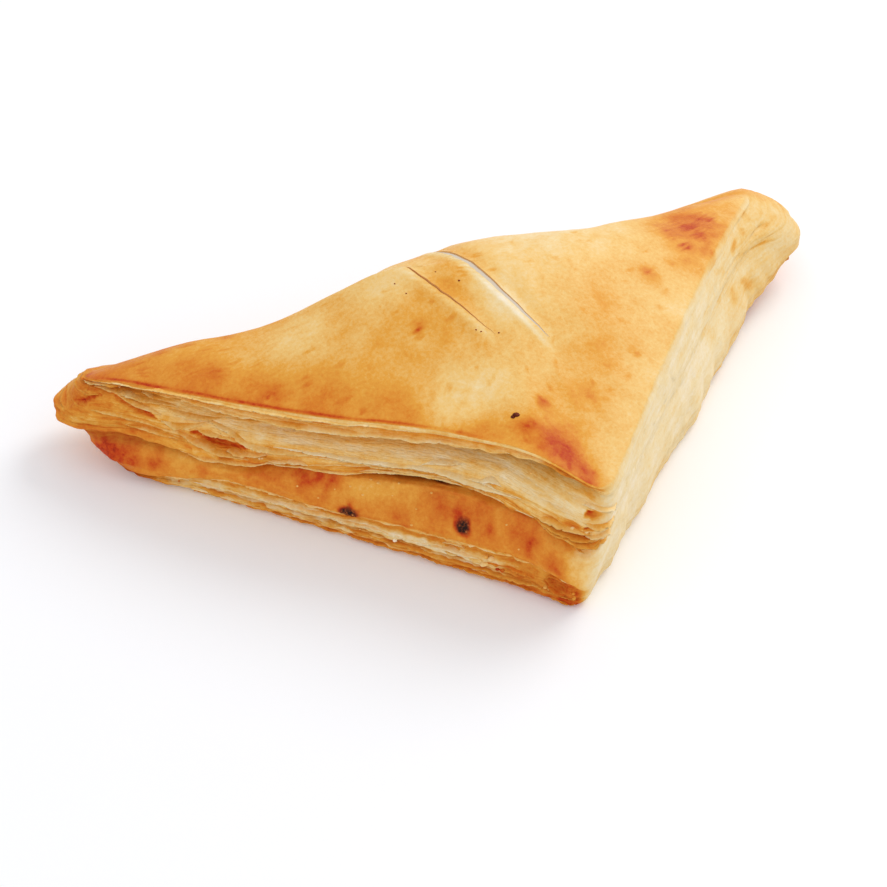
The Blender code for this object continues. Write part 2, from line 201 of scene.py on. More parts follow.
RIM_LEAVES = (
    ((0.2, 0.56), (10.4, 10.45, 10.45, 10.45, 10.4), (0.3, 0.4, 0.5, 0.4, 0.2), 0.45, 1.5, 0.0, 0.3),
    ((0.52, 0.975), (10.4, 10.45, 10.45, 10.45, 10.4), (0.2, 0.2, 0.4, 0.4, 0.2), 0.45, 1.5, 0.0, 0.34),
    ((0.23, 0.72), (11.1, 11.15, 11.0, 11.05, 11.1), (0.3, 0.8, 0.9, 0.8, 0.3), 0.4, 0.9, 0.1, 0.14),
    ((0.7, 0.815), (11.1, 11.05, 11.0, 11.05, 11.1), (0.2, 0.7, 0.8, 0.8, 0.2), 0.4, 0.8, 0.1, 0.16),
    ((0.8, 0.925), (11.1, 11.1, 11.0, 11.1, 11.0), (0.2, 0.7, 0.8, 0.8, 0.2), 0.4, 1.0, 0.1, 0.62),
    ((0.18, 0.5), (11.9, 11.8, 11.9, 11.9, 11.9), (0.2, 0.7, 0.8, 0.8, 0.2), 0.45, 1.1, 0.1, 0.4),
    ((0.48, 0.985), (11.9, 11.85, 11.9, 11.9, 11.9), (0.3, 0.8, 0.8, 0.9, 0.3), 0.45, 1.1, 0.1, 0.48),
    ((0.25, 0.99), (12.6, 12.6, 12.6, 12.6, 12.6), (0.2, 0.5, 0.6, 0.6, 0.2), 0.4, 1.1, 0.0, 0.56),
    ((0.728, 0.77), (10.8, 10.7, 10.6, 10.65, 10.8), (0.2, 0.8, 0.9, 0.8, 0.2), 0.35, 0.3, 0.0, 0.22),
    ((0.728, 0.77), (10.9, 11.1, 11.2, 11.1, 10.9), (0.2, 0.8, 0.9, 0.8, 0.2), 0.35, 0.3, 0.0, 0.3),
    ((0.918, 0.972), (10.9, 10.65, 10.5, 10.6, 10.9), (0.2, 0.8, 1.0, 0.8, 0.2), 0.35, 0.3, 0.0, 0.6),
    ((0.918, 0.972), (11.0, 11.3, 11.4, 11.3, 11.0), (0.2, 0.8, 1.0, 0.8, 0.2), 0.35, 0.3, 0.0, 0.72),
)
# The pieces that the leaves make up: name, leaves and first seed
LEAVES = {
    "lip_leaves": (LIP_LEAVES, 1.3),
    "left_leaves": (LEFT_LEAVES, 81.3),
    "middle_leaves": (MIDDLE_LEAVES, 21.7),
    "corner_stack": (STACK_LEAVES, 41.9),
    "rim_leaves": (RIM_LEAVES, 61.1),
}
# Torn gaps between the leaves: span of shares, levels, depth in mm, half height in levels, and a darker tone
# that is partly browning and partly painted shade
CREVICES = (
    ((0.075, 0.205), (1.35, 1.6, 1.85, 2.05, 2.25), 3.4, 0.62, 1.0),
    ((0.004, 0.06), (0.62, 0.66, 0.7, 0.7, 0.66), 1.4, 0.22, 1.0),
    ((0.1, 0.2), (3.15, 3.45, 3.7, 3.85, 4.1), 1.0, 0.22, 0.8),
    ((0.205, 0.365), (4.55, 5.35, 6.25, 6.95, 7.1), 1.0, 0.2, 0.78),
    ((0.33, 0.405), (6.55, 6.2, 5.75, 5.6, 5.5), 1.0, 0.2, 0.8),
    ((0.12, 0.26), (5.75, 5.85, 6.05, 6.45, 6.75), 0.7, 0.18, 0.74),
    ((0.38, 0.86), (4.45, 4.35, 4.35, 4.35, 4.45), 0.7, 0.18, 0.56),
    ((0.01, 0.12), (1.2, 1.2, 1.2, 1.3, 1.5), 0.9, 0.35, 0.72),
    ((0.255, 0.372), (4.6, 4.9, 5.1, 5.0, 4.8), 1.5, 0.9, 0.9),
    ((0.412, 0.478), (6.45, 6.4, 6.2, 6.2, 6.3), 1.3, 0.28, 0.66),
    ((0.3, 0.52), (4.4, 4.5, 4.9, 4.7, 4.5), 0.7, 0.28, 0.5),
    ((0.02, 0.082), (4.3, 3.92, 3.55, 3.27, 3.05), 0.6, 0.22, 0.88),
    ((0.006, 0.1), (3.6, 2.7, 2.3, 1.9, 1.6), 0.5, 0.22, 0.74),
    ((0.04, 0.22), (5.1, 4.95, 5.0, 5.2, 5.5), 0.6, 0.25, 0.62),
    ((0.7, 0.85), (4.4, 4.45, 4.55, 4.7, 4.7), 1.0, 0.3, 0.5),
    ((0.44, 0.78), (6.2, 5.9, 5.75, 5.85, 6.0), 0.6, 0.25, 0.58),
    ((0.875, 0.99), (6.1, 5.6, 5.15, 5.1, 5.3), 1.6, 0.25, 0.98),
    ((0.885, 1.0), (6.85, 6.4, 6.1, 6.1, 6.3), 1.5, 0.22, 0.94),
    ((0.965, 1.045), (3.25, 3.25, 3.3, 3.6, 3.95), 1.6, 0.25, 0.96),
    ((0.968, 1.045), (4.2, 4.3, 4.6, 5.0, 5.4), 1.5, 0.28, 0.94),
    ((0.955, 1.04), (7.0, 7.05, 7.2, 7.4, 7.6), 1.2, 0.22, 0.98),
    ((0.735, 0.765), (10.85, 10.9, 10.9, 10.9, 10.85), 0.9, 0.18, 0.7),
    ((0.925, 0.965), (10.95, 11.0, 11.0, 11.0, 10.95), 1.0, 0.3, 0.8),
    ((0.2, 0.98), (10.75, 10.75, 10.75, 10.75, 10.75), 0.5, 0.16, 0.62),
    ((0.24, 0.98), (11.55, 11.5, 11.55, 11.55, 11.55), 0.6, 0.16, 0.66),
    ((0.3, 0.98), (12.3, 12.3, 12.3, 12.3, 12.3), 0.6, 0.16, 0.78),
)


# Stage, m
KEY_PLACE = (0.75, 0.35, 0.75)
FILL_PLACE = (-0.6, -0.7, 0.6)
FILL_SHARE = 0.25
LIGHT_AIM = (0, 0, 0.02)
CAMERA_PLACE = (-0.14460487, -0.32409115, 0.32135157)
CAMERA_DIRECTION = (0.27236349, 0.691435, -0.66913061)
SENSOR_WIDTH = 36.0
HALF_VIEW_DEG = 13.0


# Numbers


def along(values, share):
    """A smooth curve through evenly spaced values, read at shares from 0 to 1."""
    v = np.asarray(values, float)
    x = np.clip(share, 0.0, 1.0) * (len(v) - 1)
    i = np.clip(np.floor(x).astype(int), 0, len(v) - 2)
    f = (x - i).reshape((-1,) + (1,) * (v.ndim - 1)) if v.ndim > 1 else x - i
    before, here = v[np.maximum(i - 1, 0)], v[i]
    ahead, beyond = v[i + 1], v[np.minimum(i + 2, len(v) - 1)]
    slope = ahead - before
    curve = 2 * before - 5 * here + 4 * ahead - beyond
    twist = 3 * here - before - 3 * ahead + beyond
    return 0.5 * (2 * here + slope * f + curve * f**2 + twist * f**3)


def smooth_step(x):
    x = np.clip(x, 0.0, 1.0)
    return x * x * (3 - 2 * x)


def bell(x, middle, reach):
    """1 at the middle, falling to 0 past the reach on both sides."""
    return np.exp(-(((x - middle) / reach) ** 2))


def band(x, low, high, soft):
    """1 between low and high, falling softly to 0 outside."""
    return smooth_step((x - low + soft) / (2 * soft)) * smooth_step((high + soft - x) / (2 * soft))


def grain(*coordinates):
    """Smooth noise from about -1 to 1 at the given coordinates, each a number or an array."""
    arrays = np.broadcast_arrays(*coordinates)
    flat = [noise.noise(point) for point in zip(*(a.ravel() for a in arrays))]
    return np.array(flat).reshape(arrays[0].shape)


def lap(u, scale):
    """Coordinates on a circle as long as the outline, so that grain closes on itself at the left tip."""
    turn, radius = u * 2 * math.pi / 3, FRONT_LENGTH * 3 / (2 * math.pi) / scale
    return radius * np.cos(turn)[None, :], radius * np.sin(turn)[None, :]


def from_corner(u, corner):
    """How many sides station u lies past a corner, from -1.5 to 1.5."""
    return (u - corner + 1.5) % 3.0 - 1.5


def sides_at(u):
    """Each side's share along it and its weight at stations u."""
    shares, weights = [], []
    for side in range(3):
        past_start = (u - side + 1.0) % 3.0 - 1.0
        shares.append(np.where(past_start < 1.5, np.clip(past_start, 0.0, 1.0), 0.0))
        rise = smooth_step((past_start + SIDE_BLEND) / (2 * SIDE_BLEND))
        fall = smooth_step((1 + SIDE_BLEND - past_start) / (2 * SIDE_BLEND))
        weights.append(rise * fall)
    weights = np.array(weights)
    return np.array(shares), weights / weights.sum(0)


def outline(corners, u, roundings):
    """Points at stations u round the triangle of corners, each rounded by its share of a side."""
    c = np.array(corners)
    side = np.floor(u).astype(int) % 3
    start, end = c[side], c[(side + 1) % 3]
    points = start + (end - start) * (u - np.floor(u))[:, None]
    for i, rounding in enumerate(roundings):
        turned = (from_corner(u, i) + rounding) / (2 * rounding)
        near = (turned > 0) & (turned < 1)
        w = turned[near][:, None]
        entry = c[i] + (c[i - 1] - c[i]) * rounding
        leave = c[i] + (c[(i + 1) % 3] - c[i]) * rounding
        points[near] = (1 - w) ** 2 * entry + 2 * w * (1 - w) * c[i] + w**2 * leave
    return points


def outward(u):
    """Unit vectors out of the outline halfway between crust and foot, at stations u."""
    step = 0.004

    def middle(at):
        crust, foot = (outline(corners, at % 3.0, FOOT_ROUNDING) for corners in (CRUST_CORNERS, FOOT_CORNERS))
        return (crust + foot) / 2

    ahead = middle(u + step) - middle(u - step)
    normals = np.stack([ahead[:, 1], -ahead[:, 0]], 1)
    return normals / np.linalg.norm(normals, axis=1)[:, None]


def front_places(share, level):
    """The solid's level at which each level of the dressed front lies, as levels by stations."""
    places = np.array([along(row, share) for row in ZONE_PLACES])
    zone = np.clip(np.searchsorted(ZONE_LEVELS, level, side="right") - 1, 0, len(ZONE_LEVELS) - 2)
    low = np.array(ZONE_LEVELS)[zone]
    high = np.array(ZONE_LEVELS)[zone + 1]
    part = ((level - low) / (high - low))[:, None]
    return places[zone] + (places[zone + 1] - places[zone]) * part


def level_height(share):
    """How many mm of the lower sheet one dressed level takes up, at shares of the front."""
    levels = along(ZONE_PLACES[4], share) - along(ZONE_PLACES[3], share)
    return SHEET_SLOPE * levels / (ZONE_LEVELS[4] - ZONE_LEVELS[3])


def wall_form(u, level):
    """Wall points at stations u and dressed levels from 0 to 13, in mm, and the outward vectors."""
    share, weight = sides_at(u)
    crust, foot = outline(CRUST_CORNERS, u, CRUST_ROUNDING), outline(FOOT_CORNERS, u, FOOT_ROUNDING)
    normals = outward(u)

    def blend(curves):
        return sum(w * along(curve, s) for w, curve, s in zip(weight, curves, share))

    crust = crust + normals * blend(EDGE_BOWS)[:, None]
    foot = foot + normals * blend(FOOT_BOWS)[:, None]
    top, lift = blend(EDGE_HEIGHTS), np.maximum(blend(FOOT_LIFTS), 0.0)
    opened = along(OPENING, share[0])
    left_tip = bell(from_corner(u, 0), 0.0, TIP_REACH)
    right_tip = bell(from_corner(u, 2), 0.0, TIP_REACH)
    wave = grain(crust[:, 0] / WAVE_GRAIN, crust[:, 1] / WAVE_GRAIN, 3.1)
    level = np.asarray(level, float)
    place = front_places(share[0], level)
    place = weight[0] * place + (1 - weight[0]) * level[:, None]
    step = np.arange(14.0)

    def at(values, where):
        return np.interp(where, step, np.asarray(values, float))

    front, cut = np.array(FRONT_LEVELS), np.array(CUT_LEVELS)
    turn = at(FOLD_TURN, place)
    fold_push = FOLD_REACH * np.sin(np.pi * turn) ** 0.8 - FOLD_TUCK * turn**4
    profile = np.array(FRONT_PROFILE)
    front_push = np.interp(level, profile[:, 0], profile[:, 1])[:, None]
    front_push = front_push + np.interp(level, profile[:, 0], profile[:, 2])[:, None] * opened
    height = weight[0] * at(front[:, 0], place) + weight[1] * at(cut[:, 0], place)
    height = height + weight[2] * (0.5 + 0.5 * np.cos(np.pi * turn))
    spread = weight[0] * at(front[:, 1], place) + weight[1] * at(cut[:, 1], place) + weight[2] * turn
    push = weight[0] * front_push + weight[1] * at(cut[:, 2], place) + weight[2] * fold_push
    push = push + at(LEFT_TIP, place) * left_tip + at(RIGHT_TIP, place) * right_tip
    waves = at([WAVE_LEVELS.get(k, 0.0) for k in range(14)], place)
    plan = crust + (foot - crust) * spread[..., None] + normals * push[..., None]
    z = lift + (top - lift) * height + waves * weight[0] * wave
    return np.concatenate([plan, z[..., None]], axis=2), normals


def crust_ring(edge, share):
    """One ring of the crust, at a share of the way from its middle to its edge."""
    plan = np.array(CRUST_MIDDLE) + (edge[:, :2] - CRUST_MIDDLE) * share
    away = (plan - HUMP_MIDDLE) / HUMP_HALF_WIDTHS
    hump = HUMP_HEIGHT * np.exp(-(away**2).sum(1)) * (1 - share**4)
    x, y = plan[:, 0], plan[:, 1]
    for mx, my, wide, deep, high in CRUST_SWELLS:
        hump = hump + high * np.exp(-(((x - mx) / wide) ** 2) - ((y - my) / deep) ** 2) * (1 - share**6)
    blisters = BLISTER_HEIGHT * grain(x / BLISTER_GRAIN, y / BLISTER_GRAIN, 7.7) * (1 - share**8)
    blisters = blisters + 0.22 * grain(x / 6.0, y / 6.0, 1.3) + 0.08 * grain(x / 2.4, y / 2.4, 5.3)
    z = edge[:, 2] * share**2.2 + CENTRE_HEIGHT * (1 - share**2.2) + hump + blisters
    return np.column_stack([plan, z])


def soften(rows, amount, times):
    """Rounds a stack of rings over, ring to ring, as strongly as amount says at each point."""
    amount = amount[..., None]
    for _ in range(times):
        inner = (rows[:-2] + rows[2:]) / 2
        rows = rows.copy()
        rows[1:-1] += (inner - rows[1:-1]) * 0.5 * amount[1:-1]
    return rows


def slit_distance(x, y, slit):
    """Distance aside of a slit, positive towards +X, and the share along it, for plan points."""
    start, end, bow = np.array(slit[0]), np.array(slit[1]), slit[2]
    way = end - start
    length = np.linalg.norm(way)
    ahead = way / length
    aside = np.array([-ahead[1], ahead[0]])
    share = ((x - start[0]) * ahead[0] + (y - start[1]) * ahead[1]) / length
    off = (x - start[0]) * aside[0] + (y - start[1]) * aside[1]
    return off - bow * np.sin(np.pi * np.clip(share, 0, 1)), share


# Relief of the wall

# Browner places of the lower sheet: share of the side, level, radius in mm, how much darker
SHEET_MARKS = (
    (0.482, 8.45, 3.4, 0.16), (0.522, 8.8, 3.0, 0.2), (0.462, 8.2, 4.5, 0.1), (0.736, 9.72, 2.2, 0.26),
    (0.79, 9.6, 2.6, 0.26), (0.762, 9.72, 2.2, 0.12), (0.814, 9.8, 1.7, 0.26), (0.885, 9.55, 2.2, 0.22),
    (0.946, 9.75, 2.6, 0.2), (0.648, 10.2, 2.0, 0.14), (0.566, 10.0, 3.0, 0.1), (0.07, 8.2, 5.0, 0.18),
    (0.126, 8.4, 5.0, 0.16), (0.178, 8.45, 3.5, 0.16), (0.272, 9.45, 2.2, 0.14), (0.35, 9.0, 3.0, 0.08),
    (0.62, 9.2, 5.0, -0.1), (0.86, 9.4, 4.0, 0.08), (0.58, 9.4, 3.0, -0.06), (0.4, 9.3, 4.0, 0.03),
    (0.95, 8.8, 4.0, -0.1), (0.7, 9.3, 3.0, 0.05),
)
# Burnt blisters of the lower sheet: share of the side, level, half length and half height in mm
CHAR_MARKS = ((0.56, 10.32, 3.0, 1.7), (0.766, 9.98, 1.9, 1.9))


def crevice_grids(s, t, x):
    """Depths in mm and tone of all torn gaps on a grid of levels by stations; the tone is partly browning and
    partly painted shade.
    """
    depth = np.zeros(np.broadcast_shapes(s.shape, t.shape))
    tone, cover = np.zeros_like(depth), np.zeros_like(depth)
    for k, ((start, end), levels, deep, half, brown) in enumerate(CREVICES):
        middle = along(levels, (s[0] - start) / (end - start))[None, :]
        middle = middle + 0.25 * half * grain(x / 3.5, 70.0 + k, 0.0)[None, :]
        wide = half * (1 + 0.45 * grain(x / 4.0, 71.0 + k, 0.0)[None, :])
        ends = np.clip(np.minimum(s - start, end - s) / (0.35 * (end - start)), 0, 1) ** 0.6
        inside = np.exp(-(((t - middle) / np.maximum(wide * ends, 1e-3)) ** 4)) * (ends > 0)
        depth = np.maximum(depth, deep * inside * ends)
        tone = np.where(inside > cover, brown, tone)
        cover = np.maximum(cover, inside)
    return depth, tone, cover


def wall_relief(u, level):
    """Pushes in mm on a grid of levels by stations, and how far each point lies in the dark crescent gap, the
    mask of its painted shade.
    """
    share, weight = sides_at(u)
    x = u * FRONT_LENGTH
    s, t = share[0][None, :], level[:, None]
    w_front, w_cut, w_fold = (w[None, :] for w in weight)
    fine = grain(*lap(u, 2.6), t * 1.1 + 21.0)
    leafy = grain(*lap(u, 11.0), t * 2.6 + 22.0)
    torn = grain(*lap(u, 4.0), 30.8)
    # The crust's lip is torn below, the recess streaked and the middle leaf uneven
    front = 1.1 * torn * bell(t, 0.95, 0.2)
    front = front + band(t, 1.9, 3.8, 0.3) * 0.45 * leafy
    front = front + band(t, 3.8, 6.6, 0.3) * (0.45 * leafy + 0.35 * fine)
    front = front + 0.8 * grain(*lap(u, 3.6), 32.0) * bell(t, 6.9, 0.25)
    # Lower sheet: low wide blisters and small bubbles
    bubbles = smooth_step((grain(*lap(u, 2.8), t * 1.5 + 24.0) - 0.1) / 0.5)
    sheet = 0.45 * grain(*lap(u, 9.0), t * 0.7 + 23.0) + 0.3 * bubbles
    front = front + band(t, 8.0, 10.4, 0.4) * sheet
    rim = 0.7 * grain(*lap(u, 5.0), t * 1.6 + 25.0) + 0.5 * grain(*lap(u, 1.7), t * 2.2 + 26.0)
    front = front + band(t, 10.5, 12.9, 0.15) * rim
    tall = level_height(share[0])[None, :]
    for ms, mt, wide, high in CHAR_MARKS:
        away = np.hypot((s - ms) * FRONT_LENGTH / wide, (t - mt) * tall / high)
        front = front + 0.5 * np.exp(-(away**4)) * (0.6 + 1.2 * grain(*lap(u, 0.9), t * 5.0 + 33.0))
    # The crescent gap under the middle leaf
    gap_start, gap_span, gap_roof, gap_height, gap_swell, gap_depth = GAP
    arc = np.sin(np.pi * np.clip((s - gap_start) / gap_span, 0.0, 1.0) ** 1.6)
    lid = smooth_step((t - 7.0) / 0.15) * smooth_step(arc / 0.15)
    sill = gap_roof + (gap_height + gap_swell * arc) / tall
    gap, dark = (smooth_step((sill + more - t) / 0.15) * lid for more in (0.0, 0.12))
    depth, _, _ = crevice_grids(s, t, x)
    crumple = bell(s, 0.965, 0.05) * band(t, 2.6, 8.2, 0.4)
    front = front - gap_depth * gap - depth + crumple * (0.8 * leafy + 0.6 * fine)
    cut = 0.4 * grain(*lap(u, 16.0), t * 0.7 + 27.0) + 0.22 * grain(*lap(u, 5.0), t * 1.2 + 28.0)
    pits = smooth_step((grain(*lap(u, 3.0), t * 1.3 + 29.0) - 0.45) / 0.3)
    foot = 1.4 * grain(*lap(u, 7.0), 92.3) + 0.6 * grain(*lap(u, 2.4), 93.3)
    crease = 0.6 * bell(t + 0.9 * grain(*lap(u, 18.0), 94.3), 4.5, 0.25)
    crease = crease * smooth_step((grain(*lap(u, 9.0), 95.3) + 0.2) / 0.3)
    cut = cut - 0.5 * pits - crease + foot * band(t, 9.0, 12.6, 1.2)
    fold = 0.3 * grain(*lap(u, 14.0), t * 0.5 + 32.0) + 0.12 * fine
    nose = bell(from_corner(u, 0), 0.02, 0.07)[None, :] * band(t, 1.0, 8.0, 0.8)
    crumpled = 1.1 * grain(*lap(u, 4.0), t * 1.2 + 96.0) + 0.8 * grain(*lap(u, 1.8), t * 2.2 + 97.0)
    push = w_front * front + w_cut * cut + w_fold * fold + nose * crumpled
    return push * band(t, 0.05, 12.9, 0.1), np.broadcast_to(w_front * dark, push.shape)


def wall_grid(u, level):
    """Fine wall points at stations u and levels from 0 to 13, in mm, as levels by stations."""
    rows, normals = wall_form(u, level)
    push, _ = wall_relief(u, level)
    rows[..., :2] += normals[None, :, :] * push[..., None]
    return rows, normals


# How far each place is baked

# Browned places of the crust in plan: x, y, radius in mm and how much darker
CRUST_MARKS = (
    (-5.9, -37.4, 4.5, 0.27), (-4.0, -41.5, 4.0, 0.22), (-1.9, -47.3, 3.5, 0.3), (-2.6, -26.2, 1.8, 0.2),
    (-8.7, -31.3, 2.2, 0.22), (68.6, 29.5, 1.1, 0.62), (65.5, 29.9, 0.9, 0.55), (62.0, 21.6, 1.3, 0.45),
    (54.9, 16.8, 1.1, 0.55), (59.9, 25.4, 1.2, 0.5), (64.9, 28.0, 9.0, 0.28), (58.0, 22.0, 8.0, 0.18),
    (52.5, 10.4, 4.0, 0.14), (38.8, 5.7, 4.0, 0.14), (7.2, -27.6, 7.0, 0.08), (-70.5, 38.5, 4.5, 0.22),
    (-73.4, 26.6, 4.5, 0.18), (-67.4, 19.6, 4.0, 0.18), (-60.5, 9.3, 5.0, 0.14), (-22.0, 3.1, 0.8, 0.6),
    (-92.0, 40.0, 8.0, 0.14), (-40.0, 6.0, 14.0, 0.06), (-12.0, -18.0, 8.0, -0.1), (-46.0, 16.0, 9.0, -0.2),
    (20.0, 20.0, 16.0, -0.1), (30.0, 35.0, 20.0, -0.08), (-28.0, 20.0, 10.0, -0.1), (-75.0, 28.0, 5.0, -0.12),
    (-37.7, 6.5, 7.0, -0.06), (-22.1, -17.2, 8.0, -0.2), (-1.8, 2.1, 7.0, -0.22), (22.5, -11.5, 11.0, 0.13),
    (32.8, -2.2, 8.0, -0.03), (56.3, 11.5, 8.0, 0.1), (-10.6, -30.5, 5.0, 0.12), (-22.8, 12.5, 5.0, 0.04),
    (-16.0, 19.0, 6.0, -0.05), (-17.3, -5.1, 7.0, 0.08), (8.4, -26.5, 3.2, 0.14), (-3.0, -25.7, 1.4, 0.24),
    (25.0, -17.0, 1.0, 0.26), (39.0, 6.5, 1.4, 0.2), (47.0, 10.0, 1.2, 0.16), (-30.0, -16.0, 6.0, 0.12),
    (8.0, 20.0, 9.0, -0.1), (50.0, 24.0, 6.0, 0.08), (76.0, 38.0, 7.0, 0.14), (84.0, 42.0, 5.0, 0.04),
    (-2.5, -34.5, 6.0, 0.14), (-33.0, 20.0, 8.0, 0.04), (-27.0, -15.0, 5.0, -0.05), (-48.0, -2.0, 5.0, 0.12),
    (-58.0, 6.0, 4.0, 0.12), (-20.0, -27.0, 5.0, 0.1), (62.0, 14.0, 3.0, 0.14),
)
# Baked pin bubbles on the crust in plan: x, y, radius in mm
PIN_MARKS = (
    (-22.9, 16.2, 0.24), (-21.4, 12.5, 0.24), (-13.0, 15.1, 0.22), (-9.1, 9.9, 0.32), (-10.2, -3.5, 0.26),
    (-9.3, -4.3, 0.24), (-5.5, -5.8, 0.26), (-10.0, -27.2, 0.85), (-10.9, -27.4, 0.6),
)


def crust_toast(x, y, share, u):
    """How brown the crust is, from 0 for raw pale to 1 for burnt, paler along the slits' lips, in part as a
    painted highlight.
    """
    left = smooth_step((10.0 - x) / 95.0)
    edge = smooth_step((share - 0.6) / 0.4)
    sides, weight = sides_at(u)
    toast = 0.42 + 0.09 * left + 0.1 * edge * weight[0] - 0.06 * edge * weight[1] + 0.08 * edge * weight[2]
    toast = toast + 0.1 * grain(x / 17.0, y / 17.0, 41.0) + 0.06 * grain(x / 6.5, y / 6.5, 42.0)
    for mx, my, radius, more in CRUST_MARKS:
        away = np.hypot(x - mx, y - my) / radius
        toast = toast + more * np.exp(-(away**2)) * (1 + 0.6 * grain(x / 2.5, y / 2.5, 44.0))
    for slit in SLITS:
        off, part = slit_distance(x, y, slit)
        width = slit[3]
        # Paler along each slit's raised left lip, partly as a painted highlight on the lip
        pale_lip_highlight = bell(off, -0.9 - width / 2, 0.7) * band(part, 0.0, 1.0, 0.1)
        toast = toast - (0.1 + 0.08 * width) * pale_lip_highlight
        toast = toast + 0.05 * bell(off, 2.6, 1.8) * band(part, 0.1, 0.95, 0.1)
    # A darker line just above the front lip
    line = bell(share, 0.984, 0.008) * weight[0]
    line = line * smooth_step((0.85 - sides[0]) / 0.3) * smooth_step((sides[0] - 0.02) / 0.1)
    toast = toast + 0.3 * line * (0.9 + 1.1 * grain(x / 6.0, y / 6.0, 45.0))
    spots = smooth_step((grain(x / 3.0, y / 3.0, 46.0) - 0.42) / 0.2)
    return np.minimum(toast + 0.12 * spots, 0.9)


def wall_toast(u, level):
    """How brown the wall is, with painted light on the corner stack and painted shade in the torn gaps, and
    how charred, on grids of levels by stations.
    """
    share, weight = sides_at(u)
    x = u * FRONT_LENGTH
    s, t = share[0][None, :], level[:, None]
    w_front, w_cut, w_fold = (w[None, :] for w in weight)
    blotch = grain(*lap(u, 9.0), t * 0.6 + 51.0)
    streak = grain(*lap(u, 14.0), t * 3.0 + 52.0)
    speck = grain(*lap(u, 2.2), t * 1.3 + 53.0)
    lip = 0.34 + 0.08 * smooth_step((0.5 - s) / 0.2) + 0.24 * smooth_step((s - 0.86) / 0.06)
    lip = lip + 0.42 * bell(t, 0.52, 0.17) * (1 - 0.5 * smooth_step((s - 0.5) / 0.1))
    lip = lip + 0.06 * speck + 0.08 * blotch
    recess = 0.54 - 0.05 * smooth_step((s - 0.78) / 0.06) - 0.22 * smooth_step((t - 2.0) / 1.6)
    recess = recess + 0.12 * streak + 0.06 * speck + 0.1 * blotch * bell(s, 0.87, 0.08)
    middle = 0.42 + 0.15 * streak + 0.07 * speck + 0.14 * smooth_step((t - 5.0) / 1.5)
    sheet = 0.65 + 0.12 * blotch + 0.08 * speck
    tall = level_height(share[0])[None, :]
    for ms, mt, radius, more in SHEET_MARKS:
        away = np.hypot((s - ms) * FRONT_LENGTH, (t - mt) * tall) / radius
        sheet = sheet + more * np.exp(-(away**2)) * (1 + 0.7 * speck)
    left = smooth_step((0.24 - s) / 0.1)
    sheet = sheet + 0.07 * left - 0.1 * band(s, 0.21, 0.34, 0.04) - 0.2 * smooth_step((s - 0.945) / 0.03)
    rim = 0.32 + 0.16 * streak + 0.18 * speck + 0.32 * smooth_step((s - 0.82) / 0.06)
    rim = rim + (0.1 + 0.2 * smooth_step((s - 0.62) / 0.2)) * smooth_step((t - 12.0) / 0.9)
    rim = rim - 0.12 * band(s, 0.42, 0.84, 0.04) * band(t, 10.5, 11.3, 0.2)
    rim = rim + 0.3 * smooth_step((s - 0.9) / 0.1) + (0.78 - rim) * left
    zones = ((-1.0, lip), (1.1, recess), (3.85, middle), (7.1, sheet), (10.5, rim), (14.0, None))
    front = sum(tone * band(t, low, high, 0.1) for (low, tone), (high, _) in zip(zones, zones[1:]))
    tip = smooth_step((0.27 - s) / 0.2) * band(t, -1.0, 7.05, 0.12)
    tip_tone = 0.63 + 0.09 * smooth_step((0.06 - s) / 0.05) + 0.16 * streak + 0.1 * speck + 0.1 * blotch
    front = front + tip * (tip_tone - front)
    # The stack at the square corner is paler where it turns to face the light: painted light
    stack = bell(s, 0.97, 0.05) * band(t, 4.0, 8.2, 0.4)
    stack_tone = 0.72 - 0.34 * smooth_step((s - 0.955) / 0.02) + 0.24 * streak + 0.14 * speck
    front = front + stack * (stack_tone - front)
    # The torn gaps take their darker tone, partly browning and partly painted shade
    _, tone, cover = crevice_grids(s, t, x)
    front = front + cover * (tone + 0.08 * speck - front)
    cut = 0.15 + 0.05 * streak + 0.07 * blotch + 0.16 * smooth_step((share[1][None, :] - 0.5) / 0.4)
    orange = smooth_step((grain(*lap(u, 6.5), t * 0.8 + 54.0) - 0.15) / 0.5)
    orange = orange * smooth_step((share[1][None, :] - 0.35) / 0.4)
    cut = cut + 0.22 * orange + 0.1 * smooth_step((t - 9.0) / 4.0)
    fold = 0.54 + 0.1 * blotch + 0.04 * speck + 0.18 * smooth_step((t - 8.0) / 5.0)
    char = np.zeros(np.broadcast_shapes(s.shape, t.shape))
    for ms, mt, wide, high in CHAR_MARKS:
        away = np.hypot((s - ms) * FRONT_LENGTH / wide, (t - mt) * tall / high)
        spot = smooth_step((1.1 - away + 0.35 * speck) / 0.5)
        char = np.maximum(char, spot * w_front)
        front = front + (0.95 - front) * smooth_step((1.5 - away + 0.9 * speck) / 0.7)
    return np.minimum(w_front * front + w_cut * cut + w_fold * fold, 0.92), char


# Mesh helpers


def only(obj):
    bpy.ops.object.select_all(action="DESELECT")
    obj.select_set(True)
    bpy.context.view_layer.objects.active = obj


def turn_out(obj):
    """Normals recalculated to point out of the piece."""
    only(obj)
    bpy.ops.object.mode_set(mode="EDIT")
    bpy.ops.mesh.select_all(action="SELECT")
    bpy.ops.mesh.normals_make_consistent(inside=False)
    bpy.ops.object.mode_set(mode="OBJECT")


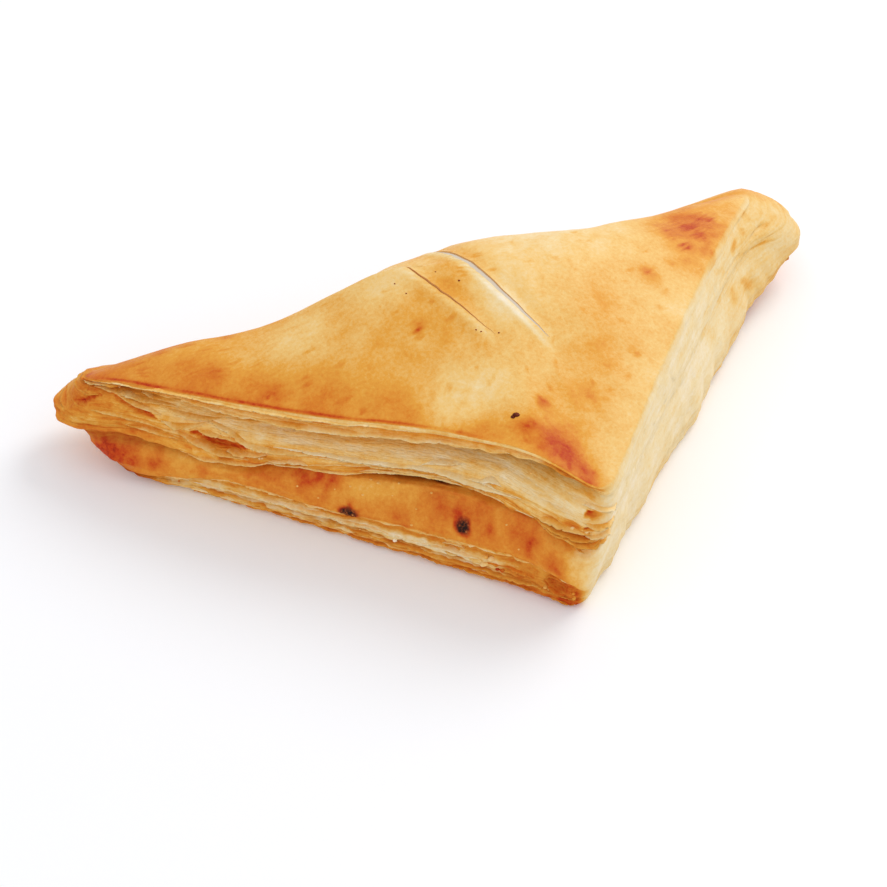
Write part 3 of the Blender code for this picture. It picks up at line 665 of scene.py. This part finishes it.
def drawn_out(name, points):
    """A UV sphere whose rings and segments are drawn out to points, in mm, as rings by stations.

    Its poles close the first and the last ring in the middle. Gives the object, and the ring and the station
    of each vertex, where the poles have the rings before the first and after the last.
    """
    rings, stations = points.shape[:2]
    bpy.ops.object.select_all(action="DESELECT")
    bpy.ops.mesh.primitive_uv_sphere_add(segments=stations, ring_count=rings + 1, radius=1.0)
    obj = bpy.context.object
    obj.name = obj.data.name = name
    co = np.empty(len(obj.data.vertices) * 3)
    obj.data.vertices.foreach_get("co", co)
    co = co.reshape(-1, 3)
    ring = np.rint(np.arccos(np.clip(co[:, 2], -1, 1)) / math.pi * (rings + 1)).astype(int) - 1
    station = np.rint(np.arctan2(co[:, 1], co[:, 0]) / (2 * math.pi) * stations).astype(int) % stations
    body = points[np.clip(ring, 0, rings - 1), station]
    body[ring < 0] = points[0].mean(0)
    body[ring >= rings] = points[-1].mean(0)
    obj.data.vertices.foreach_set("co", (body * MM).ravel())
    obj.data.update()
    return obj, ring, station


def add_attribute(obj, name, values):
    layer = obj.data.attributes.new(name, "FLOAT", "POINT")
    layer.data.foreach_set("value", np.asarray(values, np.float32))


def finish_piece(obj, material, smooth=180.0):
    """Shades a piece, gives it its material and body, and keeps the materials of its slits."""
    only(obj)
    bpy.ops.object.shade_smooth_by_angle(angle=math.radians(smooth))
    if len(obj.data.materials) > 1:
        sharpen_slits(obj)
        obj.data.materials[0] = material
    else:
        obj.data.materials.clear()
        obj.data.materials.append(material)
    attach(obj, "root")


def join(objects, name):
    bpy.ops.object.select_all(action="DESELECT")
    for obj in objects:
        obj.select_set(True)
    bpy.context.view_layer.objects.active = objects[0]
    bpy.ops.object.join()
    joined = bpy.context.object
    joined.name = joined.data.name = name
    return joined


# Materials


def linear(hex_colour):
    """An sRGB hex colour as linear RGBA."""
    channels = [int(hex_colour[i : i + 2], 16) / 255 for i in (1, 3, 5)]
    return [c / 12.92 if c <= 0.04045 else ((c + 0.055) / 1.055) ** 2.4 for c in channels] + [1.0]


def add_node(tree, kind, settings=None, links=None):
    """Adds a node, sets its properties and inputs, and links other sockets into its inputs."""
    node = tree.nodes.new(kind)
    for key, value in (settings or {}).items():
        if isinstance(key, str) and hasattr(node, key):
            setattr(node, key, value)
        else:
            node.inputs[key].default_value = value
    for key, socket in (links or {}).items():
        tree.links.new(socket, node.inputs[key])
    return node


def principled(name, roughness, coat):
    material = bpy.data.materials.new(name)
    material.use_nodes = True
    tree = material.node_tree
    shader = tree.nodes["Principled BSDF"]
    shader.inputs["Roughness"].default_value = roughness
    shader.inputs["Coat Weight"].default_value = coat
    shader.inputs["Coat Roughness"].default_value = 0.35
    shader.inputs["IOR"].default_value = 1.45
    shader.inputs["Specular IOR Level"].default_value = 0.12
    return material, tree, shader


def set_stops(ramp, stops):
    """Gives a colour ramp its stops, each a position and a linear colour, and returns its output."""
    elements = ramp.color_ramp.elements
    while len(elements) < len(stops):
        elements.new(0.5)
    for element, (position, colour) in zip(elements, stops):
        element.position = position
        element.color = (*colour[:3], 1.0)
    return ramp.outputs["Color"]


def baked_dough(look):
    """Egg-glazed baked puff dough: mottled gold to russet, satin on the crust, matt fine lines where open,
    with painted shade multiplied in.
    """
    material, tree, shader = principled("baked_puff_dough", 0.5, 0.03)

    def add(kind, settings=None, links=None, output=0):
        return add_node(tree, kind, settings, links).outputs[output]

    place = add("ShaderNodeTexCoord", output="Object")
    toast, leafy, layer, painted_shade, char = (
        add("ShaderNodeAttribute", {"attribute_name": name}, output="Fac")
        for name in ("toast", "leafy", "layer", "painted_shade", "char")
    )
    # Crust mottling: browned bubbles about 1 mm across over patches of 4 mm
    fine = add("ShaderNodeTexNoise", {"Scale": 1100.0, "Detail": 4.0, "Roughness": 0.7}, {"Vector": place})
    patch = add("ShaderNodeTexNoise", {"Scale": 240.0, "Detail": 3.0}, {"Vector": place})
    wide = add("ShaderNodeMath", {"operation": "MULTIPLY_ADD", 1: 0.16, 2: -0.24}, {0: patch})
    mottle = add("ShaderNodeMath", {"operation": "MULTIPLY_ADD", 1: 0.32}, {0: fine, 2: wide})
    # Fine lines of the rolled leaves, 0.6 mm apart, that run along the wall and follow its levels
    split = add_node(tree, "ShaderNodeSeparateXYZ", links={0: place}).outputs
    across = add("ShaderNodeMath", {"operation": "MULTIPLY", 1: 140.0}, {0: split["X"]})
    deep = add("ShaderNodeMath", {"operation": "MULTIPLY", 1: 140.0}, {0: split["Y"]})
    high = add("ShaderNodeMath", {"operation": "MULTIPLY", 1: 1.5}, {0: layer})
    lay = add("ShaderNodeCombineXYZ", links={0: across, 1: deep, 2: high})
    lines = add("ShaderNodeTexNoise", {"Scale": 1.0, "Detail": 3.0, "Roughness": 0.7}, {"Vector": lay})
    streak = add("ShaderNodeMath", {"operation": "MULTIPLY_ADD", 1: 0.6, 2: -0.3}, {0: lines})
    streak = add("ShaderNodeMath", {"operation": "MULTIPLY"}, {0: streak, 1: leafy})
    total = add("ShaderNodeMath", {"operation": "ADD"}, {0: toast, 1: mottle})
    total = add("ShaderNodeMath", {"operation": "ADD", "use_clamp": True}, {0: total, 1: streak})
    colour = set_stops(add_node(tree, "ShaderNodeValToRGB", links={"Fac": total}), (
        (0.0, look.cream), (0.18, look.pale), (0.36, look.straw), (0.52, look.golden),
        (0.67, look.amber), (0.82, look.russet), (0.93, look.brick), (1.0, look.scorched),
    ))
    # Painted shade: where the painted_shade attribute is high, the colour is multiplied towards dark brown
    multiply = {"data_type": "RGBA", "blend_type": "MULTIPLY", 7: linear("#3c2413")}
    shade = add("ShaderNodeMix", multiply, {0: painted_shade, 6: colour}, 2)
    # Char breaks up into black, red-brown and a few pale specks 0.7 mm apart
    ash = add("ShaderNodeTexNoise", {"Scale": 1300.0, "Detail": 2.0}, {"Vector": place})
    burnt = set_stops(add_node(tree, "ShaderNodeValToRGB", links={"Fac": ash}), (
        (0.44, look.char), (0.54, linear("#5c2a12")), (0.68, linear("#a05420")), (0.76, linear("#dcb474")),
    ))
    over = add("ShaderNodeMix", {"data_type": "RGBA"}, {0: char, 6: shade, 7: burnt}, 2)
    rough = add("ShaderNodeMapRange", {"To Min": 0.42, "To Max": 0.78}, {"Value": leafy})
    crumb = add("ShaderNodeBump", {"Strength": 0.3, "Distance": 0.0005}, {"Height": fine})
    ridge = add("ShaderNodeMath", {"operation": "MULTIPLY"}, {0: lines, 1: leafy})
    flake = add("ShaderNodeBump", {"Strength": 0.6, "Distance": 0.0008}, {"Height": ridge, "Normal": crumb})
    for name, socket in (("Base Color", over), ("Roughness", rough), ("Normal", flake)):
        tree.links.new(socket, shader.inputs[name])
    return material


def dough_material(context):
    found = bpy.data.materials.get("baked_puff_dough")
    return found or baked_dough(context.scene.pastry_look)


def slit_crumb(name, colour):
    """Raw cut edge of the dough, matt: steamed pale where the slit gapes, browned where it has closed."""
    material, _, shader = principled(name, 0.8, 0.0)
    shader.inputs["Base Color"].default_value = (*colour, 1.0)
    return material


def painted_floor():
    """Matt pale studio board: no grain, so only the soft shadow shows on it."""
    material, _, shader = principled("pale_studio_board", 0.9, 0.0)
    shader.inputs["Base Color"].default_value = linear("#fdfdfd")
    shader.inputs["Specular IOR Level"].default_value = 0.1
    return material


# Pieces


def body_stations():
    return np.concatenate([side + np.arange(n) / n for side, n in enumerate(SIDE_STEPS)])


def body_levels():
    steps = [k + np.arange(n) / n for k, n in enumerate(BAND_STEPS)]
    return np.concatenate(steps + [[13.0]])


def crust_rows(edge):
    """The crust's rings from the middle outwards, with the dough raised along the left of each slit."""
    shares = np.concatenate([np.arange(*INNER_SHARES), np.arange(*OUTER_SHARES), RIM_SHARES])
    rows = np.array([crust_ring(edge, share) for share in shares])
    for slit in SLITS:
        off, part = slit_distance(rows[..., 0], rows[..., 1], slit)
        lip = bell(off, -1.5, 1.6) * band(part, 0.02, 0.95, 0.1)
        sink = bell(off, 2.0, 2.2) * band(part, 0.05, 0.92, 0.1)
        rows[..., 2] += 0.45 * lip - 0.35 * sink
    return rows, shares


def base_rows(edge):
    """The rings of the underside, flat but for the lifted tips."""
    rows = []
    for share in BASE_SHARES:
        plan = np.array(CRUST_MIDDLE) + (edge[:, :2] - CRUST_MIDDLE) * share
        lift = edge[:, 2] * smooth_step((share - BASE_SHARES[-1]) / (1 - BASE_SHARES[-1]))
        rows.append(np.column_stack([plan, lift]))
    return np.array(rows)


def build_body():
    """Crust, wall and underside as one closed skin, with its browning, painted light and painted shade as
    attributes.
    """
    u, level = body_stations(), body_levels()
    share, weight = sides_at(u)
    wall, _ = wall_grid(u, level)
    crust, shares = crust_rows(wall[0])
    rows = np.concatenate([crust, wall, base_rows(wall[-1])])
    ring = np.arange(len(rows))[:, None]
    lip, foot = len(crust), len(crust) + len(wall)
    near_lip = np.exp(-(((ring - lip) / 9.0) ** 2))
    closed = (weight[1] + weight[2])[None, :]
    rows = soften(rows, near_lip * (weight[2] + 0.4 * weight[1])[None, :], 24)
    body, vertex_ring, station = drawn_out("pastry_body", rows)

    toast, leafy, painted_shade, char = (np.zeros(rows.shape[:2]) for _ in range(4))
    layer = rows[..., 2].copy()
    for k in range(lip):
        toast[k] = crust_toast(rows[k, :, 0], rows[k, :, 1], shares[k], u)
    toast[lip:foot], char[lip:foot] = wall_toast(u, level)
    toast[foot:] = BASE_TONE
    # The crust's browning runs over the closed sides' edge before their own starts
    spill = 0.3 + 0.6 * weight[2] + 0.9 * weight[1] * np.clip(grain(*lap(u, 5.0), 55.0)[0] + 0.1, 0.0, 1.0)
    over = np.exp(-level[:, None] / spill[None, :]) * closed
    toast[lip:foot] += (toast[lip - 1] - toast[lip:foot]) * over * 0.85
    open_leaves = 1 - 0.9 * band(level, 7.6, 10.4, 0.3)
    leafy[lip:foot] = 0.45 * smooth_step(level / 2.0)[:, None] * weight[1] + weight[0] * open_leaves[:, None]
    # Painted shade under the lip, the middle leaf and the lower sheet, in the torn gaps and in the crescent
    # gap, and a little over the cut side; the crescent gap's tone is also pushed dark as painted shade
    _, gap = wall_relief(u, level)
    deep, _, _ = crevice_grids(share[0][None, :], level[:, None], u * FRONT_LENGTH)
    under = 0.5 * bell(level, 1.75, 0.7) * (level > 1.05) + 0.25 * band(level, 7.1, 7.7, 0.2)
    under = under + 0.08 * band(level, 10.6, 12.0, 0.3)
    right = 0.16 * band(level, 1.3, 3.2, 0.4)[:, None] * band(share[0], 0.72, 0.92, 0.04)[None, :]
    corner = 1 - 0.5 * smooth_step((share[0] - 0.945) / 0.03)[None, :]
    front = under[:, None] * corner + right + 0.5 * smooth_step((deep - 1.0) / 2.4)
    toast[lip:foot] += (0.8 - toast[lip:foot]) * gap
    gap = gap * (0.72 + 0.22 * smooth_step((share[0] - 0.57) / 0.07))
    painted_shade[lip:foot] = np.clip(gap + front * weight[0] + 0.06 * weight[1], 0, 1)
    layer[lip:foot] = (LAYER_HEIGHT * (1 - level / 13.0))[:, None]

    grids = {"toast": toast, "leafy": leafy, "painted_shade": painted_shade, "layer": layer, "char": char}
    for name, grid in grids.items():
        values = grid[np.clip(vertex_ring, 0, len(rows) - 1), station]
        values[vertex_ring < 0] = grid[0].mean()
        values[vertex_ring >= len(rows)] = grid[-1].mean()
        add_attribute(body, name, values)
    return body


def surface_of(obj):
    return BVHTree.FromObject(obj, bpy.context.evaluated_depsgraph_get())


def height_at(surface, x, y):
    """Height of the crust in mm over a plan point."""
    return surface.ray_cast(Vector((x * MM, y * MM, 0.1)), Vector((0, 0, -1)))[0].z / MM


def slit_cutter(name, surface, slit, materials):
    """A wedge that follows the crust, gentle on its left and steep on its right."""
    start, end = np.array(slit[0]), np.array(slit[1])
    bow, width, depth = slit[2:]
    way = end - start
    aside = np.array([-way[1], way[0]]) / np.linalg.norm(way)
    rows = []
    for share in np.linspace(0, 1, SLIT_STEPS):
        swell = math.sin(math.pi * (0.02 + 0.96 * share) ** 0.75) ** 0.7 * (1.25 - 0.55 * share)
        ragged = 0.26 * noise.noise((share * 16, width, 2.0))
        middle = start + way * share + aside * (bow * math.sin(math.pi * share) + ragged)
        reach = width / 2 * swell
        left, right = middle - aside * reach, middle + aside * reach
        low = middle + aside * reach * 0.7
        high = height_at(surface, *middle)
        rim = height_at(surface, *left), height_at(surface, *right)
        rows.append([
            (*(right + aside * 0.15), rim[1] + 1.0),
            (*(left - aside * width * 0.25 / depth), rim[0] + 0.3),
            (*low, high - depth * swell),
        ])
    rows = np.array(rows)
    cutter, _, station = drawn_out(name, rows)
    turn_out(cutter)
    for material in materials:
        cutter.data.materials.append(material)
    for face in cutter.data.polygons:
        corners = {int(station[i]) for i in face.vertices}
        face.material_index = 1 if 1 not in corners else 0
    return cutter


def cut_slits(body, look):
    surface = surface_of(body)
    browned, steamed = slit_crumb("browned_slit", look.slit), slit_crumb("steamed_dough", look.crumb)
    crumbs = (browned, browned), (steamed, browned)
    for i, slit in enumerate(SLITS):
        cutter = slit_cutter(f"slit_cutter_{i + 1}", surface, slit, crumbs[i])
        only(body)
        cut = body.modifiers.new("slit", "BOOLEAN")
        cut.operation = "DIFFERENCE"
        cut.solver = "EXACT"
        cut.material_mode = "TRANSFER"
        cut.object = cutter
        bpy.ops.object.modifier_apply(modifier=cut.name)
        bpy.data.objects.remove(cutter)
    # The cut leaves its new points without values: they take the crust's browning again, with the painted
    # highlight along the slits
    co = np.empty(len(body.data.vertices) * 3)
    body.data.vertices.foreach_get("co", co)
    x, y, z = co.reshape(-1, 3).T / MM
    near = np.zeros(len(x), bool)
    for slit in SLITS:
        off, part = slit_distance(x, y, slit)
        near |= (np.abs(off) < 3.0) & (np.abs(part - 0.5) < 0.6) & (z > 30.0)
    toast = np.empty(len(x))
    layer = body.data.attributes["toast"].data
    layer.foreach_get("value", toast)
    middle = np.full(near.sum(), 0.5)
    toast[near] = crust_toast(x[near], y[near], middle, middle)
    layer.foreach_set("value", toast)


def sharpen_slits(body):
    """Keeps the slits' edges crisp where their faces, which have the second material, meet the crust."""
    mesh = body.data
    sides = {}
    for face in mesh.polygons:
        for key in face.edge_keys:
            sides.setdefault(key, set()).add(face.material_index)
    for edge in mesh.edges:
        if len(sides[edge.key]) > 1:
            edge.use_edge_sharp = True


def build_leaf(name, leaf, seed):
    """A thin torn leaf that stands out of the wall: a UV sphere drawn out along its level."""
    (start, end), levels, reach, thick, ragged, droop, tone = leaf
    length = (end - start) * FRONT_LENGTH
    rings = max(24, int(length / LEAF_RING))
    share = (np.arange(rings) + 0.5) / rings
    u = start + (end - start) * share
    x = u * FRONT_LENGTH
    level = np.clip(along(levels, share) + 0.07 * grain(x / 7.0, seed, 0.0), 0.02, 12.95)
    points, normals = wall_form(u % 3.0, np.sort(level))
    root = points[np.argsort(np.argsort(level)), np.arange(rings)]
    taper = np.sin(np.pi * share) ** 0.35
    torn = 0.7 * grain(x / 4.0, seed, 1.0) + 0.5 * grain(x / 1.3, seed, 2.0)
    edge = along(reach, share) + ragged * torn
    edge = np.maximum(edge, -0.6) * taper
    bend = 0.4 * grain(x / 6.0, seed, 3.0)
    angle = np.arange(LEAF_SEGMENTS) / LEAF_SEGMENTS * 2 * math.pi
    outwards = np.cos(angle)[None, :]
    out = ((edge - LEAF_DEPTH) / 2)[:, None] + ((edge + LEAF_DEPTH) / 2)[:, None] * outwards
    swell = (thick / 2 * taper)[:, None] * np.sin(angle)[None, :] * (1.2 - 0.5 * outwards)
    drop = (bend[:, None] - droop) * smooth_step((outwards + 1) / 2)
    rows = np.empty((rings, LEAF_SEGMENTS, 3))
    rows[..., 0] = root[:, None, 0] + normals[:, None, 0] * out
    rows[..., 1] = root[:, None, 1] + normals[:, None, 1] * out
    rows[..., 2] = np.maximum(root[:, None, 2] + swell + drop, 0.05)
    obj, ring, station = drawn_out(name, rows)
    toast = tone + 0.04 + 0.14 * grain(x[:, None] / 5.0, seed, 5.0) + 0.18 * (1 - outwards)
    toast = toast + 0.05 * grain(x[:, None] / 1.5, seed, 6.0)
    ring = np.clip(ring, 0, rings - 1)
    add_attribute(obj, "toast", toast[ring, station])
    add_attribute(obj, "leafy", np.full(len(ring), 0.5))
    add_attribute(obj, "layer", rows[..., 2][ring, station])
    return obj


def build_leaves(name, leaves, seed):
    parts = [build_leaf(f"{name}_{k}", leaf, seed + SEED_STEP * k) for k, leaf in enumerate(leaves)]
    joined = join(parts, name)
    turn_out(joined)
    return joined


def front_point(s, level, out=0.0):
    """A point on the front wall, in mm."""
    rows, normals = wall_grid(np.array([s]), np.array([level]))
    point = rows[0, 0].copy()
    point[:2] += normals[0] * out
    return point


def lump(centre, size, seed, tone, rough=0.25):
    """One crumb or blister: an ico sphere squeezed to size and made uneven. centre and size in mm.

    A tone up to 1 is browning, and what it has over 1 is char.
    """
    bpy.ops.object.select_all(action="DESELECT")
    bpy.ops.mesh.primitive_ico_sphere_add(subdivisions=2, radius=1.0)
    obj = bpy.context.object
    for vertex in obj.data.vertices:
        way = vertex.co.normalized()
        uneven = 1 + rough * noise.noise((way.x * 1.7 + seed, way.y * 1.7, way.z * 1.7))
        vertex.co = Vector(centre) * MM + Vector([way[i] * size[i] for i in range(3)]) * uneven * MM
    add_attribute(obj, "toast", np.full(len(obj.data.vertices), min(tone, 1.0)))
    add_attribute(obj, "char", np.full(len(obj.data.vertices), max(tone - 1.0, 0.0)))
    return obj


# Crumbs on the opened side: share of the side, level, size in mm, browning, how many
CRUMB_SPOTS = (
    (0.646, 11.35, 0.9, 0.05, 2), (0.816, 11.05, 1.2, 0.34, 6), (0.762, 11.2, 0.6, 0.2, 2),
    (0.93, 11.4, 0.9, 0.5, 4), (0.216, 11.6, 1.1, 0.78, 2), (0.32, 4.1, 0.5, 0.3, 3),
    (0.334, 4.3, 0.5, 0.2, 4), (0.312, 6.5, 0.7, 0.15, 5), (0.282, 4.9, 0.6, 0.35, 3),
    (0.36, 6.3, 0.6, 0.2, 6), (0.39, 6.2, 0.5, 0.2, 4), (0.948, 4.6, 0.9, 0.3, 4),
    (0.962, 7.6, 0.9, 0.3, 4), (0.97, 4.7, 0.8, 0.3, 4), (0.955, 6.2, 0.8, 0.36, 4),
    (0.84, 11.3, 0.8, 0.86, 6), (0.5, 11.5, 0.5, 0.4, 4), (0.58, 11.6, 0.5, 0.4, 4),
    (0.7, 11.8, 0.5, 0.5, 4), (0.98, 11.2, 0.8, 0.6, 5),
)
# Small pale bubbles on the lower sheet and in the recess: share of the side, level
SEED_SPOTS = (
    (0.582, 9.6), (0.606, 9.2), (0.634, 9.6), (0.68, 9.85), (0.676, 10.3), (0.642, 8.6), (0.558, 9.25),
    (0.592, 8.8), (0.7, 9.4), (0.5, 9.8), (0.53, 9.3), (0.46, 9.2), (0.84, 9.4), (0.87, 10.0),
    (0.862, 2.9),
)


def build_crumbs():
    draw = random.Random(11)
    parts = []
    for s, level, size, tone, count in CRUMB_SPOTS:
        for _ in range(count):
            ds = draw.uniform(-1.4, 1.4) * size / FRONT_LENGTH
            point = front_point(min(max(s + ds, 0.001), 1.0), level + draw.uniform(-0.2, 0.2), 0.1)
            r = size * draw.uniform(0.25, 0.6)
            size_mm = (r * draw.uniform(0.8, 1.3), r, r * draw.uniform(0.5, 0.8))
            parts.append(lump(point, size_mm, draw.random() * 50, tone + draw.uniform(-0.08, 0.12)))
    for s, level in SEED_SPOTS:
        r = draw.uniform(0.2, 0.34)
        size_mm = (r * 1.3, r, r * 0.9)
        parts.append(lump(front_point(s, level, -0.12), size_mm, draw.random() * 50, 0.44, 0.1))
    return join(parts, "crumbs")


def build_pins(surface):
    parts = []
    for x, y, r in PIN_MARKS:
        z = height_at(surface, x, y)
        parts.append(lump((x, y, z - 0.08 * r), (r, r, r * 0.3), x * 3.1, 1.75 if r > 0.4 else 1.4, 0.2))
    return join(parts, "baked_pins")


# Light, floor and camera


def area_light(name, place, aim, size, power):
    data = bpy.data.lights.new(name, "AREA")
    data.shape = "DISK"
    data.size = size
    data.energy = power
    light = bpy.data.objects.new(name, data)
    bpy.context.scene.collection.objects.link(light)
    light.location = place
    light.rotation_euler = (Vector(aim) - Vector(place)).to_track_quat("-Z", "Y").to_euler()


def build_stage(stage):
    bpy.ops.object.select_all(action="DESELECT")
    bpy.ops.mesh.primitive_plane_add(size=stage.floor_size, location=(0, 0, 0))
    floor = bpy.context.object
    floor.name = "pale_floor"
    floor.data.materials.append(painted_floor())
    world = bpy.data.worlds.new("white_surround")
    world.use_nodes = True
    background = world.node_tree.nodes["Background"]
    background.inputs["Color"].default_value = linear("#fafbff")
    background.inputs["Strength"].default_value = stage.sky
    bpy.context.scene.world = world
    area_light("key", KEY_PLACE, LIGHT_AIM, 0.6, stage.key_power)
    area_light("fill", FILL_PLACE, LIGHT_AIM, 0.9, stage.key_power * FILL_SHARE)
    camera = bpy.data.objects.new("camera", bpy.data.cameras.new("camera"))
    bpy.context.scene.collection.objects.link(camera)
    camera.data.sensor_width = SENSOR_WIDTH
    camera.data.lens = SENSOR_WIDTH / 2 / math.tan(math.radians(HALF_VIEW_DEG))
    camera.data.clip_start = 0.01
    camera.location = CAMERA_PLACE
    camera.rotation_euler = Vector(CAMERA_DIRECTION).to_track_quat("-Z", "Y").to_euler()
    bpy.context.scene.camera = camera
    bpy.context.scene.view_settings.view_transform = "Standard"


# Operators


class PastryLook(bpy.types.PropertyGroup):
    """Colours of the dough from raw pale to burnt."""

    def colour(name, description, value):
        limits = {"subtype": "COLOR", "size": 3, "min": 0, "max": 1}
        return FloatVectorProperty(name=name, description=description, default=linear(value)[:3], **limits)

    cream: colour("Cream", "Unbrowned dough on the cut side", "#fbecd0")
    pale: colour("Pale", "Edges of the leaves", "#f4dba6")
    straw: colour("Straw", "Palest glazed crust", "#f1c576")
    golden: colour("Golden", "Evenly baked crust", "#e8a440")
    amber: colour("Amber", "Well baked crust", "#dd862a")
    russet: colour("Russet", "Browned patches", "#d0661a")
    brick: colour("Brick", "Darkest browned patches", "#c03c0a")
    scorched: colour("Scorched", "Nearly burnt spots", "#962606")
    char: colour("Char", "Burnt blisters", "#26110a")
    crumb: colour("Crumb", "Steamed dough inside the open slit", "#d0c2ae")
    slit: colour("Slit", "Browned dough at the slits' steep side", "#deaa6a")


class PastryStage(bpy.types.PropertyGroup):
    """Light and floor."""

    floor_size: FloatProperty(
        name="Floor size", description="Side of the square floor", default=6.0, min=0.5, unit="LENGTH"
    )
    key_power: FloatProperty(
        name="Key light", description="Power of the large soft light", default=4.5, min=0.0, unit="POWER"
    )
    sky: FloatProperty(name="Surround", description="Strength of the white surround", default=0.82, min=0.0)


class PASTRY_OT_body(bpy.types.Operator):
    """Builds the pastry's body: crust, walls and underside in one closed piece"""

    bl_idname = "pastry.body"
    bl_label = "Pastry body"

    def execute(self, context):
        body = build_body()
        cut_slits(body, context.scene.pastry_look)
        finish_piece(body, dough_material(context), 70)
        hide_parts(NODE)
        return {"FINISHED"}


class PASTRY_OT_leaves(bpy.types.Operator):
    """Adds the torn leaves: the crust's lip, the left tip, the middle, the stack at the corner and the rim"""

    bl_idname = "pastry.leaves"
    bl_label = "Torn leaves"

    def execute(self, context):
        for name, (leaves, seed) in LEAVES.items():
            finish_piece(build_leaves(name, leaves, seed), dough_material(context))
        return {"FINISHED"}


class PASTRY_OT_crumbs(bpy.types.Operator):
    """Adds loose crumbs and small pale bubbles that stick to the dough"""

    bl_idname = "pastry.crumbs"
    bl_label = "Crumbs"

    def execute(self, context):
        finish_piece(build_crumbs(), dough_material(context))
        return {"FINISHED"}


class PASTRY_OT_pins(bpy.types.Operator):
    """Adds the dark pin bubbles on the crust"""

    bl_idname = "pastry.pins"
    bl_label = "Pin bubbles"

    def execute(self, context):
        surface = surface_of(bpy.data.objects["pastry_body"])
        finish_piece(build_pins(surface), dough_material(context))
        return {"FINISHED"}


class PASTRY_OT_stage(bpy.types.Operator):
    """Adds the pale floor, the soft lights and the camera"""

    bl_idname = "pastry.stage"
    bl_label = "Floor, lights and camera"

    def execute(self, context):
        build_stage(context.scene.pastry_stage)
        return {"FINISHED"}


class PASTRY_PT_panel(bpy.types.Panel):
    """Lists the pieces of the pastry"""

    bl_idname = "PASTRY_PT_panel"
    bl_label = "Puff pastry"
    bl_space_type = "VIEW_3D"
    bl_region_type = "UI"
    bl_category = "Pastry"

    def draw(self, context):
        for settings in (context.scene.pastry_look, context.scene.pastry_stage):
            for name in settings.__annotations__:
                self.layout.prop(settings, name)
        for operator in OPERATORS:
            self.layout.operator(operator.bl_idname)


OPERATORS = (
    PASTRY_OT_body,
    PASTRY_OT_leaves,
    PASTRY_OT_crumbs,
    PASTRY_OT_pins,
    PASTRY_OT_stage,
)
CLASSES = (PastryLook, PastryStage, *OPERATORS, PASTRY_PT_panel)


def register():
    for cls in CLASSES:
        bpy.utils.register_class(cls)
    bpy.types.Scene.pastry_look = PointerProperty(type=PastryLook)
    bpy.types.Scene.pastry_stage = PointerProperty(type=PastryStage)


def unregister():
    del bpy.types.Scene.pastry_stage
    del bpy.types.Scene.pastry_look
    for cls in reversed(CLASSES):
        bpy.utils.unregister_class(cls)


def main():
    register()
    bpy.ops.pastry.body()
    bpy.ops.pastry.leaves()
    bpy.ops.pastry.crumbs()
    bpy.ops.pastry.pins()
    bpy.ops.pastry.stage()


if __name__ == "__main__":
    main()
